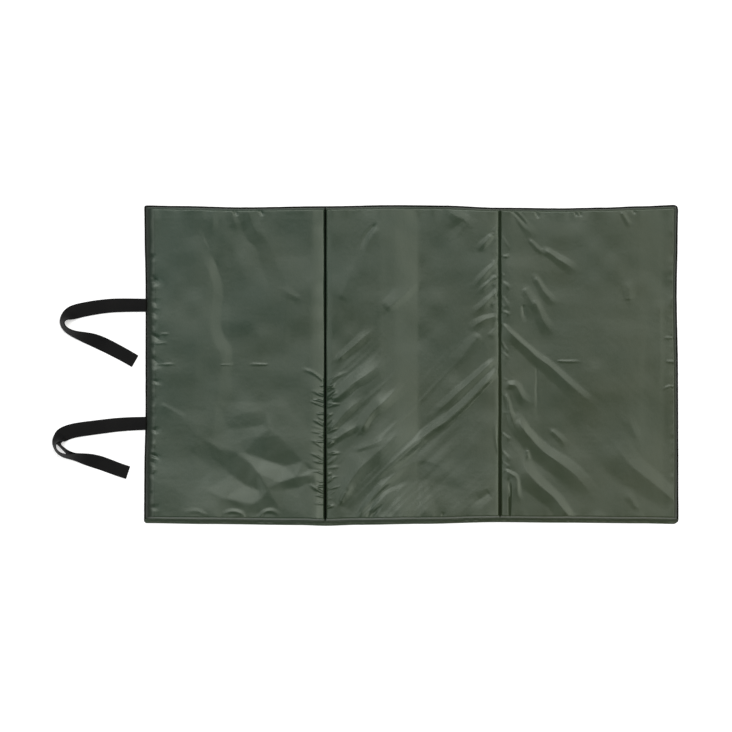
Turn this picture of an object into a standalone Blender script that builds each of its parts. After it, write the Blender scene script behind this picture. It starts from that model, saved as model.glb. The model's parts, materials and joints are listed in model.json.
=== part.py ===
# Folding unhooking mat: three foam-filled panels in one sewn cover, with two fold seams
# and two elastic strap loops on the left edge.
# Metres, +Z up, +X along the long side, origin on the floor under the mat's middle.
import math

import bmesh
import bpy
from mathutils import Matrix, Vector

# Driving dimensions of the mat
mat_length = 1.000
mat_width = 0.595
left_fold_x = -0.161
right_fold_x = 0.166
foam_thickness = 0.016
skin_thickness = 0.0008
seat_gap = 0.0003
crown_height = 0.0018

# Outline
corner_radius = 0.009
corner_shares = (0.0, 0.25, 0.55, 1.0)
end_draw_in = 0.003
end_panel_draw_in = 0.003
middle_panel_draw_in = 0.001

# Edge seam all round, closing hem along the front
seam_diameter = 0.003
hem_width = 0.0075
hem_thickness = 0.002
cover_side_reach = 0.010
foam_side_clearance = 0.0085
foam_edge_radius = 0.005

# Fold seams: the strip of both skins between two foam cores, sewn down the middle
web_half_width = 0.008
web_shoulder_height = 0.015
web_valley_height = 0.0033
web_end_height = 0.0019
web_merge_half_width = 0.0015
cover_fold_reach = 0.009
foam_fold_clearance = 0.002
fold_clearance = 0.001

# Thread
thread_diameter = 0.0008
stitch_length = 0.010
hem_stitch_inset = 0.0048
fold_stitch_end_margin = 0.006

# Strap loops: flat black elastic, sewn in by both ends, so two plies lie on each other
strap_width = 0.025
ply_thickness = 0.0013
ply_gap = 0.0005
ply_shift = 0.0026
strap_lift = 0.0001
rising_share = 0.14
settling_share = 0.32
parting_share = 0.11
parting_lag_share = 0.03

# Centre lines of the flattened loops on the floor, from the seam to the folded end.
# X is the distance outward from the seam, Y is measured along the edge from the mat's middle.
upper_strap_route = [
    (0.000, 0.1118), (0.022, 0.1119), (0.044, 0.1118), (0.066, 0.1110), (0.088, 0.1086),
    (0.110, 0.1050), (0.129, 0.1008), (0.143, 0.0958), (0.1525, 0.0895), (0.1570, 0.0810),
    (0.1550, 0.0720), (0.1475, 0.0640), (0.1350, 0.0575), (0.1180, 0.0520), (0.0970, 0.0455),
    (0.0760, 0.0365), (0.0550, 0.0258), (0.0380, 0.0166), (0.0220, 0.0075),
]
upper_strap_bend_share = 0.535
upper_strap_bend_angle = math.radians(68)
lower_strap_route = [
    (0.000, -0.1095), (0.020, -0.1101), (0.038, -0.1110), (0.058, -0.1126), (0.078, -0.1150),
    (0.098, -0.1176), (0.118, -0.1202), (0.137, -0.1236), (0.1525, -0.1290), (0.1635, -0.1375),
    (0.1670, -0.1480), (0.1625, -0.1580), (0.1520, -0.1660), (0.1380, -0.1712), (0.1210, -0.1752),
    (0.1030, -0.1790), (0.0850, -0.1838), (0.0650, -0.1910), (0.0510, -0.1962), (0.0350, -0.2014),
]
lower_strap_bend_share = 0.575
lower_strap_bend_angle = math.radians(74)
lower_strap_parting = 0.0034
strap_steps = 56

# Cover grids
cover_cells_x = 16
cover_cells_y = 20
edge_line_shares = (0.0, 0.1, 0.4, 1.0)
web_line_shares = (0.11, 0.30, 1.0)
web_height_shares = (0.02, 0.78, 1.0)

half_length = mat_length / 2
half_width = mat_width / 2
foam_bottom = skin_thickness + seat_gap
foam_top = foam_bottom + foam_thickness
cover_flat_top = foam_top + seat_gap + skin_thickness
pad_height = cover_flat_top + crown_height
cover_rim_height = skin_thickness + 1.8 * seat_gap
seam_inset = seam_diameter + 2.6 * seat_gap
hem_inset = hem_width + 2 * seat_gap
right_axis_z = pad_height + fold_clearance
left_axis_z = 1.5 * pad_height + 1.5 * fold_clearance

panels = {
    "left": (-half_length, left_fold_x),
    "middle": (left_fold_x, right_fold_x),
    "right": (right_fold_x, half_length),
}


def sign(value):
    return -1.0 if value < 0 else 1.0


def warp(x, y):
    """Rounds the mat's corners and draws its sides in a little between them."""
    past_x = corner_radius - (half_length - abs(x))
    past_y = corner_radius - (half_width - abs(y))
    if past_x > 0 and past_y > 0:
        square = 2 * corner_radius**2
        x -= sign(x) * past_x * (1 - math.sqrt(1 - past_y**2 / square))
        y -= sign(y) * past_y * (1 - math.sqrt(1 - past_x**2 / square))
    across, along = abs(x) / half_length, abs(y) / half_width
    drawn_x = x - sign(x) * end_draw_in * (1 - along**2) * across**4
    for name, (low, high) in panels.items():
        if low <= x <= high:
            depth = middle_panel_draw_in if name == "middle" else end_panel_draw_in
            share = (x - low) / (high - low)
            y -= sign(y) * depth * 4 * share * (1 - share) * along**4
            break
    return drawn_x, y


def rise(distance, reach):
    """How far a cover has climbed, 0 to 1, at a distance in from its rim: a quarter round."""
    share = min(max(distance / reach, 0), 1)
    return math.sqrt(1 - (1 - share) ** 2)


def side_rise(y):
    """The climb in from the rear seam and the front hem."""
    return rise(half_width - seam_inset - y, cover_side_reach) * rise(
        half_width - hem_inset + y, cover_side_reach
    )


def grid_lines(low, high, low_reach, high_reach, cells):
    """Lines across a cover, closer together where it curves at its two sides."""
    inner = cells - 2 * (len(edge_line_shares) - 1)
    start, end = low + low_reach, high - high_reach
    lines = [low + share * low_reach for share in edge_line_shares]
    lines += [start + (end - start) * step / inner for step in range(1, inner)]
    return lines + [high - share * high_reach for share in reversed(edge_line_shares)]


def add_material(name, colour, roughness):
    material = bpy.data.materials.new(name)
    material.use_nodes = True
    shader = material.node_tree.nodes["Principled BSDF"]
    shader.inputs["Base Color"].default_value = (*colour, 1)
    shader.inputs["Roughness"].default_value = roughness
    material.diffuse_color = (*colour, 1)
    return material


def add_axis(name, x, z):
    empty = bpy.data.objects.new(name, None)
    empty.location = (x, 0, z)
    parts.objects.link(empty)
    return empty


def place(obj, finish, panel):
    """Gives an object its own material and hangs it on its panel's fold axis."""
    if obj.name not in parts.objects:
        parts.objects.link(obj)
    obj.data.materials.append(add_material(obj.name + "_finish", *finish))
    axis = axes.get(panel)
    if axis:
        obj.parent = axis
        obj.matrix_parent_inverse = Matrix.Translation(-axis.location)
    return obj


def mesh_object(name, mesh_builder):
    mesh = bpy.data.meshes.new(name)
    mesh_builder.to_mesh(mesh)
    mesh_builder.free()
    mesh.shade_smooth()
    mesh.set_sharp_from_angle(angle=math.radians(40))
    return bpy.data.objects.new(name, mesh)


def sheet_mesh(columns, rows, point):
    """A grid of columns by rows of cells, each vertex put at point(column, row)."""
    builder = bmesh.new()
    bmesh.ops.create_grid(builder, x_segments=columns, y_segments=rows, size=1)
    for vertex in builder.verts:
        column = round((vertex.co.x + 1) / 2 * columns)
        row = round((vertex.co.y + 1) / 2 * rows)
        vertex.co = point(column, row)
    bmesh.ops.recalc_face_normals(builder, faces=builder.faces)
    return builder


def solidify(obj, thickness, offset):
    modifier = obj.modifiers.new("thickness", "SOLIDIFY")
    modifier.thickness = thickness
    modifier.offset = offset
    modifier.use_even_offset = True
    return obj


def slab(name, xs, ys, low, high):
    """A flat slab between two heights over the grid of lines xs by ys, drawn in like the outline."""
    def corner(column, row):
        return (*warp(xs[column], ys[row]), high)

    builder = sheet_mesh(len(xs) - 1, len(ys) - 1, corner)
    top = list(builder.faces)
    result = bmesh.ops.extrude_face_region(builder, geom=top)
    for item in result["geom"]:
        if isinstance(item, bmesh.types.BMVert):
            item.co.z = low
    bmesh.ops.recalc_face_normals(builder, faces=builder.faces)
    return mesh_object(name, builder)


def tube(name, points, radii):
    """A filled tube through points, with a radius at each."""
    curve = bpy.data.curves.new(name, "CURVE")
    curve.dimensions = "3D"
    curve.bevel_depth = max(radii)
    curve.bevel_resolution = 1 if len(set(radii)) == 1 else 0
    curve.use_fill_caps = True
    spline = curve.splines.new("POLY")
    spline.points.add(len(points) - 1)
    for target, point, radius in zip(spline.points, points, radii):
        target.co = (*point, 1)
        target.radius = radius / max(radii)
    return bpy.data.objects.new(name, curve)


def spaced(low, high, step):
    count = max(round(abs(high - low) / step), 1)
    return [low + (high - low) * i / count for i in range(count + 1)]


def thread(name, low, high, point):
    """A row of stitches from low to high: a thread that thickens at each stitch and thins between."""
    places = spaced(low, high, stitch_length / 2)
    thick, thin = thread_diameter / 2, thread_diameter / 4
    radii = [thick if i % 2 else thin for i in range(len(places))]
    return tube(name, [point(place) for place in places], radii)


def cover_span(panel):
    """A panel's X limits without its edge seam and fold webs, and its climb at each end."""
    low, high = panels[panel]
    web_edge = web_half_width + seat_gap / 2
    low_outer, high_outer = panel == "left", panel == "right"
    low += seam_inset if low_outer else web_edge
    high -= seam_inset if high_outer else web_edge
    return low, high, low_outer, high_outer


def end_rise(distance, outer):
    """The climb in from an outer end, or from a fold web's shoulder, where it starts part way up."""
    if outer:
        return rise(distance, cover_side_reach)
    start = (web_shoulder_height - cover_rim_height) / (cover_flat_top - cover_rim_height)
    return start + (1 - start) * rise(distance, cover_fold_reach)


def top_cover(panel):
    low, high, low_outer, high_outer = cover_span(panel)
    front, rear = -half_width + hem_inset, half_width - seam_inset
    xs = grid_lines(
        low,
        high,
        cover_side_reach if low_outer else cover_fold_reach,
        cover_side_reach if high_outer else cover_fold_reach,
        cover_cells_x,
    )
    ys = grid_lines(front, rear, cover_side_reach, cover_side_reach, cover_cells_y)

    def point(column, row):
        x, y = xs[column], ys[row]
        climb = end_rise(x - low, low_outer) * end_rise(high - x, high_outer) * side_rise(y)
        along = 2 * (x - low) / (high - low) - 1
        across = 2 * (y - front) / (rear - front) - 1
        crown = crown_height * (1 - along**4) * (1 - across**4)
        z = cover_rim_height + (cover_flat_top - cover_rim_height) * climb + crown
        return (*warp(x, y), z)

    obj = mesh_object(f"{panel}_top_cover", sheet_mesh(len(xs) - 1, len(ys) - 1, point))
    return solidify(obj, skin_thickness, -1)


def bottom_cover(panel):
    low, high = panels[panel]
    low += 0 if panel == "left" else web_half_width + seat_gap / 2
    high -= 0 if panel == "right" else web_half_width + seat_gap / 2
    xs = grid_lines(low, high, corner_radius, corner_radius, cover_cells_x)
    ys = grid_lines(-half_width, half_width, corner_radius, corner_radius, cover_cells_x)
    return slab(f"{panel}_bottom_cover", xs, ys, 0, skin_thickness)


def foam_core(panel):
    low, high, low_outer, high_outer = cover_span(panel)
    low += foam_side_clearance if low_outer else foam_fold_clearance
    high -= foam_side_clearance if high_outer else foam_fold_clearance
    front = -half_width + hem_inset + foam_side_clearance
    rear = half_width - seam_inset - foam_side_clearance
    builder = bmesh.new()
    bmesh.ops.create_cube(builder, size=1)
    bmesh.ops.scale(builder, vec=(high - low, rear - front, foam_thickness), verts=builder.verts)
    centre = ((low + high) / 2, (front + rear) / 2, foam_bottom + foam_thickness / 2)
    bmesh.ops.translate(builder, vec=centre, verts=builder.verts)
    obj = mesh_object(f"{panel}_foam_core", builder)
    edge = obj.modifiers.new("soft edge", "BEVEL")
    edge.width = foam_edge_radius
    edge.segments = 3
    edge.limit_method = "ANGLE"
    return obj


def web_top(height_share, y):
    """Height of the pinched groove over a fold, from 0 at its stitches to 1 at its shoulder."""
    deep = web_valley_height + (web_shoulder_height - web_valley_height) * height_share
    return web_end_height + (deep - web_end_height) * side_rise(y)


def web_outline(fold_x, y):
    """The web's section at y: the groove, its underside, the point where the skins meet, the base."""
    offsets = [share * web_half_width for share in web_line_shares]
    slot = skin_thickness + 0.9 * seat_gap
    upper = [(offset, web_top(share, y)) for offset, share in zip(offsets, web_height_shares)]
    inner = [
        (min(offset + skin_thickness, web_half_width), max(z - 1.1 * skin_thickness, slot))
        for offset, z in reversed(upper)
    ]
    tip = (web_merge_half_width, skin_thickness + 0.45 * seat_gap)
    half = [*upper, *inner, tip, (web_half_width, skin_thickness), (web_half_width, 0)]
    mirrored = [(-offset, z) for offset, z in reversed(half)]
    ring = [(0, web_top(0, y)), *half, *mirrored]
    return [(*warp(fold_x + offset, y), z) for offset, z in ring]


def web_cap(ring, steps):
    """The faces that close one end of a web, for a ring with steps points on each slope."""
    total = len(ring)
    tip = 2 * steps + 1
    faces = [(0, tip, total - tip), (tip, tip + 2, total - tip - 2, total - tip)]
    for direction in (1, -1):
        half = [(k, k + 1, 2 * steps - k, tip - k) for k in range(1, steps)]
        half += [(0, 1, 2 * steps, tip), (tip, tip + 1, tip + 2)]
        faces += [tuple(direction * k % total for k in face) for face in half]
    return [[ring[k] for k in face] for face in faces]


def fold_web(panel, fold_x):
    """Both skins of one fold, as a groove above and a flat strip below, joined along the stitches."""
    front, rear = -half_width + hem_inset, half_width - seam_inset
    ys = grid_lines(front, rear, cover_side_reach, cover_side_reach, cover_cells_y)
    builder = bmesh.new()
    sections = [
        [builder.verts.new(point) for point in web_outline(fold_x, y)]
        for y in (-half_width, *ys, half_width)
    ]
    for ring, following in zip(sections, sections[1:]):
        for i in range(len(ring)):
            j = (i + 1) % len(ring)
            builder.faces.new((ring[i], ring[j], following[j], following[i]))
    for ring in (sections[0], sections[-1]):
        for face in web_cap(ring, len(web_line_shares)):
            builder.faces.new(face)
    bmesh.ops.recalc_face_normals(builder, faces=builder.faces)
    return mesh_object(f"{panel}_fold_web", builder)


def fold_stitching(panel, fold_x):
    def point(y):
        x, new_y = warp(fold_x, y)
        return x, new_y, web_top(0, y) + 1.2 * seat_gap + thread_diameter / 2

    end = half_width - fold_stitch_end_margin
    return thread(f"{panel}_fold_stitching", -end, end, point)


def edge_seam(panel):
    """The rolled dark edge, along the rear and down an outer end as far as the hem."""
    low, high = panels[panel]
    web_edge = web_half_width + seat_gap
    inset = seam_diameter / 2
    front_end = -half_width + hem_inset + inset
    step = 5 * corner_radius
    corner = [share * corner_radius for share in corner_shares]
    rear = half_width - inset
    if panel == "middle":
        route = [(x, rear) for x in spaced(low + web_edge, high - web_edge, step)]
    else:
        outer = half_length - inset
        far = (abs(high) if panel == "left" else low) + web_edge
        route = [(x, rear) for x in spaced(far, outer - corner_radius, step)]
        route += [(outer - corner_radius + c, rear) for c in corner[1:]]
        route += [(outer, rear - c) for c in corner[1:]]
        route += [(outer, y) for y in spaced(rear - corner_radius, front_end, step)[1:]]
        if panel == "left":
            route = [(-x, y) for x, y in route]
    z = skin_thickness + seat_gap + inset
    points = [(*warp(x, y), z) for x, y in route]
    return tube(f"{panel}_edge_seam", points, [inset] * len(points))


def front_hem(panel):
    low, high = panels[panel]
    low += 0 if panel == "left" else web_half_width + seat_gap
    high -= 0 if panel == "right" else web_half_width + seat_gap
    xs = grid_lines(low, high, corner_radius, corner_radius, cover_cells_x)
    ys = [-half_width + share * hem_width for share in edge_line_shares]
    bottom = skin_thickness + seat_gap
    return slab(f"{panel}_front_hem", xs, ys, bottom, bottom + hem_thickness)


def hem_stitching(panel):
    low, high = panels[panel]
    y = -half_width + hem_stitch_inset
    z = skin_thickness + seat_gap + hem_thickness + seat_gap + thread_diameter / 2

    def point(x):
        return (*warp(x, y), z)

    margin = web_half_width + stitch_length / 2
    return thread(f"{panel}_hem_stitching", low + margin, high - margin, point)


def smooth_route(route, count):
    """Evenly spaced points along a smooth curve through a route's own points."""
    ends = [2 * route[0] - route[1], *route, 2 * route[-1] - route[-2]]
    fine = []
    for i in range(1, len(ends) - 2):
        a, b, c, d = ends[i - 1 : i + 3]
        for k in range(8):
            t = k / 8
            fine.append(
                (2 * b + (c - a) * t + (2 * a - 5 * b + 4 * c - d) * t**2
                 + (3 * b - a - 3 * c + d) * t**3) / 2
            )
    fine.append(route[-1])
    lengths = [0]
    for a, b in zip(fine, fine[1:]):
        lengths.append(lengths[-1] + (b - a).length)
    points, k = [], 0
    for i in range(count + 1):
        goal = lengths[-1] * i / count
        while k < len(lengths) - 2 and lengths[k + 1] < goal:
            k += 1
        share = (goal - lengths[k]) / max(lengths[k + 1] - lengths[k], 1e-12)
        points.append(fine[k].lerp(fine[k + 1], min(share, 1)))
    return points


def hump(share, middle_share, before_share, after_share):
    """A smooth rise to 1 at a share of the strap's length, and a fall after it."""
    reach_share = before_share if share < middle_share else after_share
    away = min(abs(share - middle_share) / reach_share, 1)
    return (1 + math.cos(math.pi * away)) / 2


def strap_loop(name, route, bend_share, bend_angle, parting=0):
    """A flattened loop: out along one ply, round the folded end and back along the other.

    It turns up on its edge at the bend, where the plies can part."""
    edge_x = warp(-half_length, route[0][1])[0] - 1.5 * seat_gap
    flat = [Vector((edge_x - out, y, 0)) for out, y in route]
    points = smooth_route(flat, strap_steps)
    shares = [i / strap_steps for i in range(strap_steps + 1)]
    shifts = [ply_shift * math.sin(math.pi * share) / 2 for share in shares]
    offsets = [
        (ply_thickness + ply_gap) / 2
        + parting * hump(share, bend_share + parting_lag_share, parting_share, parting_share)
        for share in shares
    ]
    frames = []
    for i, point in enumerate(points):
        before, after = points[max(i - 1, 0)], points[min(i + 1, strap_steps)]
        ahead = (after - before).normalized() if i else Vector((-1, 0, 0))
        inward = Vector((-ahead.y, ahead.x, 0))
        angle = bend_angle * hump(shares[i], bend_share, rising_share, settling_share)
        across = inward * math.cos(angle) + Vector((0, 0, math.sin(angle)))
        standing = (strap_width / 2 + shifts[i]) * math.sin(angle)
        height = standing + (offsets[i] + ply_thickness / 2) * math.cos(angle) + strap_lift
        frames.append((point + Vector((0, 0, height)), ahead, across, ahead.cross(across)))
    rows = []
    for side, order in ((1, range(strap_steps + 1)), (-1, range(strap_steps, -1, -1))):
        for i in order:
            centre, _, across, out = frames[i]
            rows.append((centre + (out * offsets[i] + across * shifts[i]) * side, across))
        if side > 0:
            centre, ahead, across, out = frames[-1]
            for turn in (45, 90, 135):
                angle = math.radians(turn)
                round_it = out * math.cos(angle) + ahead * math.sin(angle)
                rows.append((centre + round_it * offsets[-1], across))

    def point(column, row):
        centre, across = rows[column]
        return centre + across * strap_width * (row - 0.5)

    obj = mesh_object(name, sheet_mesh(len(rows) - 1, 1, point))
    return solidify(obj, ply_thickness, 0)


for old in list(bpy.data.objects):
    bpy.data.objects.remove(old, do_unlink=True)
parts = bpy.data.collections.new("unhooking_mat")
bpy.context.scene.collection.children.link(parts)

axes = {
    "left": add_axis("left_fold_axis", left_fold_x, left_axis_z),
    "right": add_axis("right_fold_axis", right_fold_x, right_axis_z),
}

cover_finish = ((0.073, 0.089, 0.067), 0.45)
base_finish = ((0.012, 0.013, 0.012), 0.6)
foam_finish = ((0.32, 0.33, 0.33), 0.9)
thread_finish = ((0.010, 0.012, 0.010), 0.7)
strap_finish = ((0.014, 0.014, 0.014), 0.75)

for panel in panels:
    place(foam_core(panel), foam_finish, panel)
    place(top_cover(panel), cover_finish, panel)
    place(bottom_cover(panel), base_finish, panel)
    place(edge_seam(panel), base_finish, panel)
    place(front_hem(panel), cover_finish, panel)
    place(hem_stitching(panel), thread_finish, panel)
for panel, fold_x in (("left", left_fold_x), ("right", right_fold_x)):
    place(fold_web(panel, fold_x), cover_finish, "middle")
    place(fold_stitching(panel, fold_x), thread_finish, "middle")
place(
    strap_loop(
        "upper_strap_loop", upper_strap_route, upper_strap_bend_share, upper_strap_bend_angle
    ),
    strap_finish,
    "left",
)
place(
    strap_loop(
        "lower_strap_loop", lower_strap_route, lower_strap_bend_share, lower_strap_bend_angle,
        lower_strap_parting,
    ),
    strap_finish,
    "left",
)
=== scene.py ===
# Folding unhooking mat: the looks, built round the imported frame.
# Metres throughout. +X is the photograph's right, +Y its top, +Z up.
import json
import math

import bmesh
import bpy
import numpy as np
from mathutils import Matrix, Vector
from mathutils.geometry import delaunay_2d_cdt


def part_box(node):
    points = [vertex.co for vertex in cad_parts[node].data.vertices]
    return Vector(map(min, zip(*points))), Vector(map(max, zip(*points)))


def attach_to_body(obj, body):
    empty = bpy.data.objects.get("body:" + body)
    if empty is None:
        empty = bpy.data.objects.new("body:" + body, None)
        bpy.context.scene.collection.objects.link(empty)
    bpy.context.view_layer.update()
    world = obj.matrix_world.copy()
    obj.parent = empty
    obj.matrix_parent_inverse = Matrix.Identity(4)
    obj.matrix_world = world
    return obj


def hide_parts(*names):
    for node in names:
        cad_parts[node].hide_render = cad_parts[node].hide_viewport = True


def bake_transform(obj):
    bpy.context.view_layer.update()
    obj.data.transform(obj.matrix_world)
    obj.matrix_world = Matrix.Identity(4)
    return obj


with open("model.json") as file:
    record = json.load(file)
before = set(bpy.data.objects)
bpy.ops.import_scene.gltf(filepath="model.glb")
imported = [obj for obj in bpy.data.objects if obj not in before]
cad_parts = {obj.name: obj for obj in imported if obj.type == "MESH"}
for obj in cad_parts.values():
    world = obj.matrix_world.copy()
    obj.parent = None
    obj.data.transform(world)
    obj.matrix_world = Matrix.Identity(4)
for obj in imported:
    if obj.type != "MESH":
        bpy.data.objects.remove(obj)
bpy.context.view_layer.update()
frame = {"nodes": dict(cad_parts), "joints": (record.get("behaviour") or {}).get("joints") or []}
print("frame loaded:", len(frame["nodes"]), "nodes")

# Sizes taken from the frame
joints = {joint["name"]: joint for joint in frame["joints"]}
foldX = {
    "left": joints["left_panel_fold"]["pos_m"][0],
    "right": joints["right_panel_fold"]["pos_m"][0],
}
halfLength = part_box("right_bottom_cover")[1].x
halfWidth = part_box("middle_bottom_cover")[1].y
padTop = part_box("middle_top_cover")[1].z
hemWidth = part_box("middle_front_hem")[1].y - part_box("middle_front_hem")[0].y
millimetre = 0.001

# The photograph's frame, for what is placed in it: its pixels over the middle of the mat
photo = {"middleX": 411.25, "middleY": 364.9, "pixel": 1.872 * millimetre, "width": 732}


def fromPhoto(px, py):
    return Vector((
        (px - photo["middleX"]) * photo["pixel"],
        (photo["middleY"] - py) * photo["pixel"],
        0,
    ))


finePoints = 8  # between two points of a route, before it is spaced evenly
tiny = 1e-12  # metres, keeps a division safe


def smoothRoute(route, count):
    # Evenly spaced points on a smooth curve through the route's own points
    ends = [2 * route[0] - route[1], *route, 2 * route[-1] - route[-2]]
    fine = []
    for i in range(1, len(ends) - 2):
        a, b, c, d = ends[i - 1 : i + 3]
        for t in (k / finePoints for k in range(finePoints)):
            bend = 2 * a - 5 * b + 4 * c - d
            fine.append((2 * b + (c - a) * t + bend * t**2 + (3 * b - a - 3 * c + d) * t**3) / 2)
    fine.append(route[-1])
    lengths = [0]
    for a, b in zip(fine, fine[1:]):
        lengths.append(lengths[-1] + (b - a).length)
    points, k = [], 0
    for i in range(count + 1):
        goal = lengths[-1] * i / count
        while k < len(lengths) - 2 and lengths[k + 1] < goal:
            k += 1
        share = (goal - lengths[k]) / max(lengths[k + 1] - lengths[k], tiny)
        points.append(fine[k].lerp(fine[k + 1], min(share, 1)))
    return points


def ease(value):
    value = np.clip(value, 0, 1)
    return value * value * (3 - 2 * value)


def softTable(value, table):
    # Eased steps between (place, amount) pairs
    places = np.array([place for place, _ in table])
    amounts = np.array([amount for _, amount in table])
    i = np.clip(np.searchsorted(places, value) - 1, 0, len(places) - 2)
    share = ease((value - places[i]) / (places[i + 1] - places[i]))
    return amounts[i] + (amounts[i + 1] - amounts[i]) * share


cloudValues = {"cells": 64, "start": 200.5}  # the noise's table, and the cell that x = 0 falls in


def cloudy(x, y, size, seed):
    # Smooth noise, about -1 to 1, with bumps of the given size
    count = cloudValues["cells"]
    table = np.random.default_rng(seed).uniform(-1, 1, (count, count))
    u, v = x / size + cloudValues["start"], y / size + cloudValues["start"]
    i, j = np.floor(u).astype(int), np.floor(v).astype(int)
    s, t = ease(u - i), ease(v - j)
    i, j, nextI, nextJ = i % count, j % count, (i + 1) % count, (j + 1) % count
    near = table[i, j] * (1 - s) + table[nextI, j] * s
    far = table[i, nextJ] * (1 - s) + table[nextI, nextJ] * s
    return near * (1 - t) + far * t


# Camera, almost straight above the mat as in the photograph
cameraValues = {
    "distance": 24.0,
    "elevation": math.radians(87.6),
    "middleX": 366,  # the middle of the photograph, in its pixels
    "middleY": 366,
    "aim": 0.002,
}


def makeCamera(values):
    camera = bpy.data.objects.new("camera", bpy.data.cameras.new("camera"))
    scene = bpy.context.scene
    scene.collection.objects.link(camera)
    aim = fromPhoto(values["middleX"], values["middleY"]) + Vector((0, 0, values["aim"]))
    back = Vector((0, -math.cos(values["elevation"]), math.sin(values["elevation"])))
    camera.location = aim + back * values["distance"]
    camera.rotation_mode = "QUATERNION"
    camera.rotation_quaternion = (-back).to_track_quat("-Z", "Y")
    camera.data.lens = camera.data.sensor_width * values["distance"] / (photo["width"] * photo["pixel"])
    scene.camera = camera


makeCamera(cameraValues)

# The outline: how far each side stands out from the true rectangle, along the side
outline = {
    "rear": [(-0.50, 0.0015), (-0.43, 0.0004), (-0.32, -0.0022), (-0.16, 0.0), (-0.03, 0.0022),
             (0.06, 0.0013), (0.16, -0.0028), (0.28, -0.0040), (0.36, -0.0026), (0.43, 0.0), (0.50, 0.0026)],
    "front": [(-0.50, -0.0010), (-0.38, 0.0007), (-0.21, 0.0026), (-0.16, 0.0040), (-0.10, 0.0022),
              (0.02, 0.0004), (0.16, -0.0028), (0.28, -0.0018), (0.43, -0.0006), (0.50, 0.0007)],
    "left": [(-0.30, 0.0), (-0.20, -0.0004), (-0.09, -0.0026), (0.14, -0.0026), (0.24, -0.0008), (0.30, 0.0)],
    "right": [(-0.30, 0.0), (-0.16, -0.0002), (-0.03, -0.0005), (0.14, -0.0028), (0.24, -0.0010),
              (0.30, 0.0)],
    "leftCorner": 0.005,
    "rightCorner": 0.010,
    "hold": 6,  # power: how closely a side's waves keep to that side
}


def placed(x, y):
    # Where a point of the true rectangle lies on the real, slightly wavy mat
    across, along = np.abs(x) / halfLength, np.abs(y) / halfWidth
    radius = np.where(x < 0, outline["leftCorner"], outline["rightCorner"])
    pastX = np.maximum(radius - (halfLength - np.abs(x)), 0)
    pastY = np.maximum(radius - (halfWidth - np.abs(y)), 0)
    square = 2 * radius**2
    roundX = pastX * (1 - np.sqrt(np.maximum(1 - pastY**2 / square, 0)))
    roundY = pastY * (1 - np.sqrt(np.maximum(1 - pastX**2 / square, 0)))
    sideX = np.where(x < 0, softTable(y, outline["left"]), softTable(y, outline["right"]))
    sideY = np.where(y < 0, softTable(x, outline["front"]), softTable(x, outline["rear"]))
    newX = x - np.sign(x) * roundX + np.sign(x) * sideX * across ** outline["hold"]
    newY = y - np.sign(y) * roundY + np.sign(y) * sideY * along ** outline["hold"]
    return newX, newY


# Strap loops: the same routes as the CAD, X outward from the seam and Y along the edge
straps = {
    "upper": {
        "route": [
            (0.000, 0.1118), (0.022, 0.1119), (0.044, 0.1118), (0.066, 0.1110), (0.088, 0.1086),
            (0.110, 0.1050), (0.129, 0.1008), (0.143, 0.0958), (0.1525, 0.0895), (0.1570, 0.0810),
            (0.1550, 0.0720), (0.1475, 0.0640), (0.1350, 0.0575), (0.1180, 0.0520), (0.0970, 0.0455),
            (0.0760, 0.0365), (0.0550, 0.0258), (0.0380, 0.0166), (0.0220, 0.0075),
        ],
        "bendShare": 0.535,  # of the length, where the strap stands up most
        "rising": 0.14,
        "bendAngle": math.radians(73),
        "parting": 0,
    },
    "lower": {
        "route": [
            (0.000, -0.1095), (0.020, -0.1101), (0.038, -0.1110), (0.058, -0.1126), (0.078, -0.1150),
            (0.098, -0.1176), (0.118, -0.1202), (0.137, -0.1236), (0.1525, -0.1290), (0.1635, -0.1375),
            (0.1670, -0.1480), (0.1625, -0.1580), (0.1520, -0.1660), (0.1380, -0.1712), (0.1210, -0.1752),
            (0.1030, -0.1790), (0.0850, -0.1838), (0.0650, -0.1910), (0.0510, -0.1962), (0.0350, -0.2014),
        ],
        "bendShare": 0.575,
        "rising": 0.105,
        "bendAngle": math.radians(80),
        "parting": 0.0054,
    },
}
strapValues = {
    "width": 0.0248,
    "ply": 0.0012,
    "gap": 0.0006,  # between the two plies
    "shift": 0.0026,  # how far the plies slide apart, edge from edge
    "lift": 0.0001,  # off the ground
    "sewnIn": 0.0012,  # inside the seam
    "settlingShare": 0.32,  # of the length, to lie flat again after the bend
    "partingShare": 0.11,  # of the length, where the plies part
    "partingLagShare": 0.018,
    "steps": 150,
    "cellsAcross": 10,
    "endTurns": (30, 60, 90, 120, 150),  # degrees round the outer end
    "edgeRound": 0.0004,
    "edgeSegments": 2,
    "edgeAngle": math.radians(50),
}


def hump(share, middle, before, after):
    away = min(abs(share - middle) / (before if share < middle else after), 1)
    return (1 + math.cos(math.pi * away)) / 2


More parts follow.
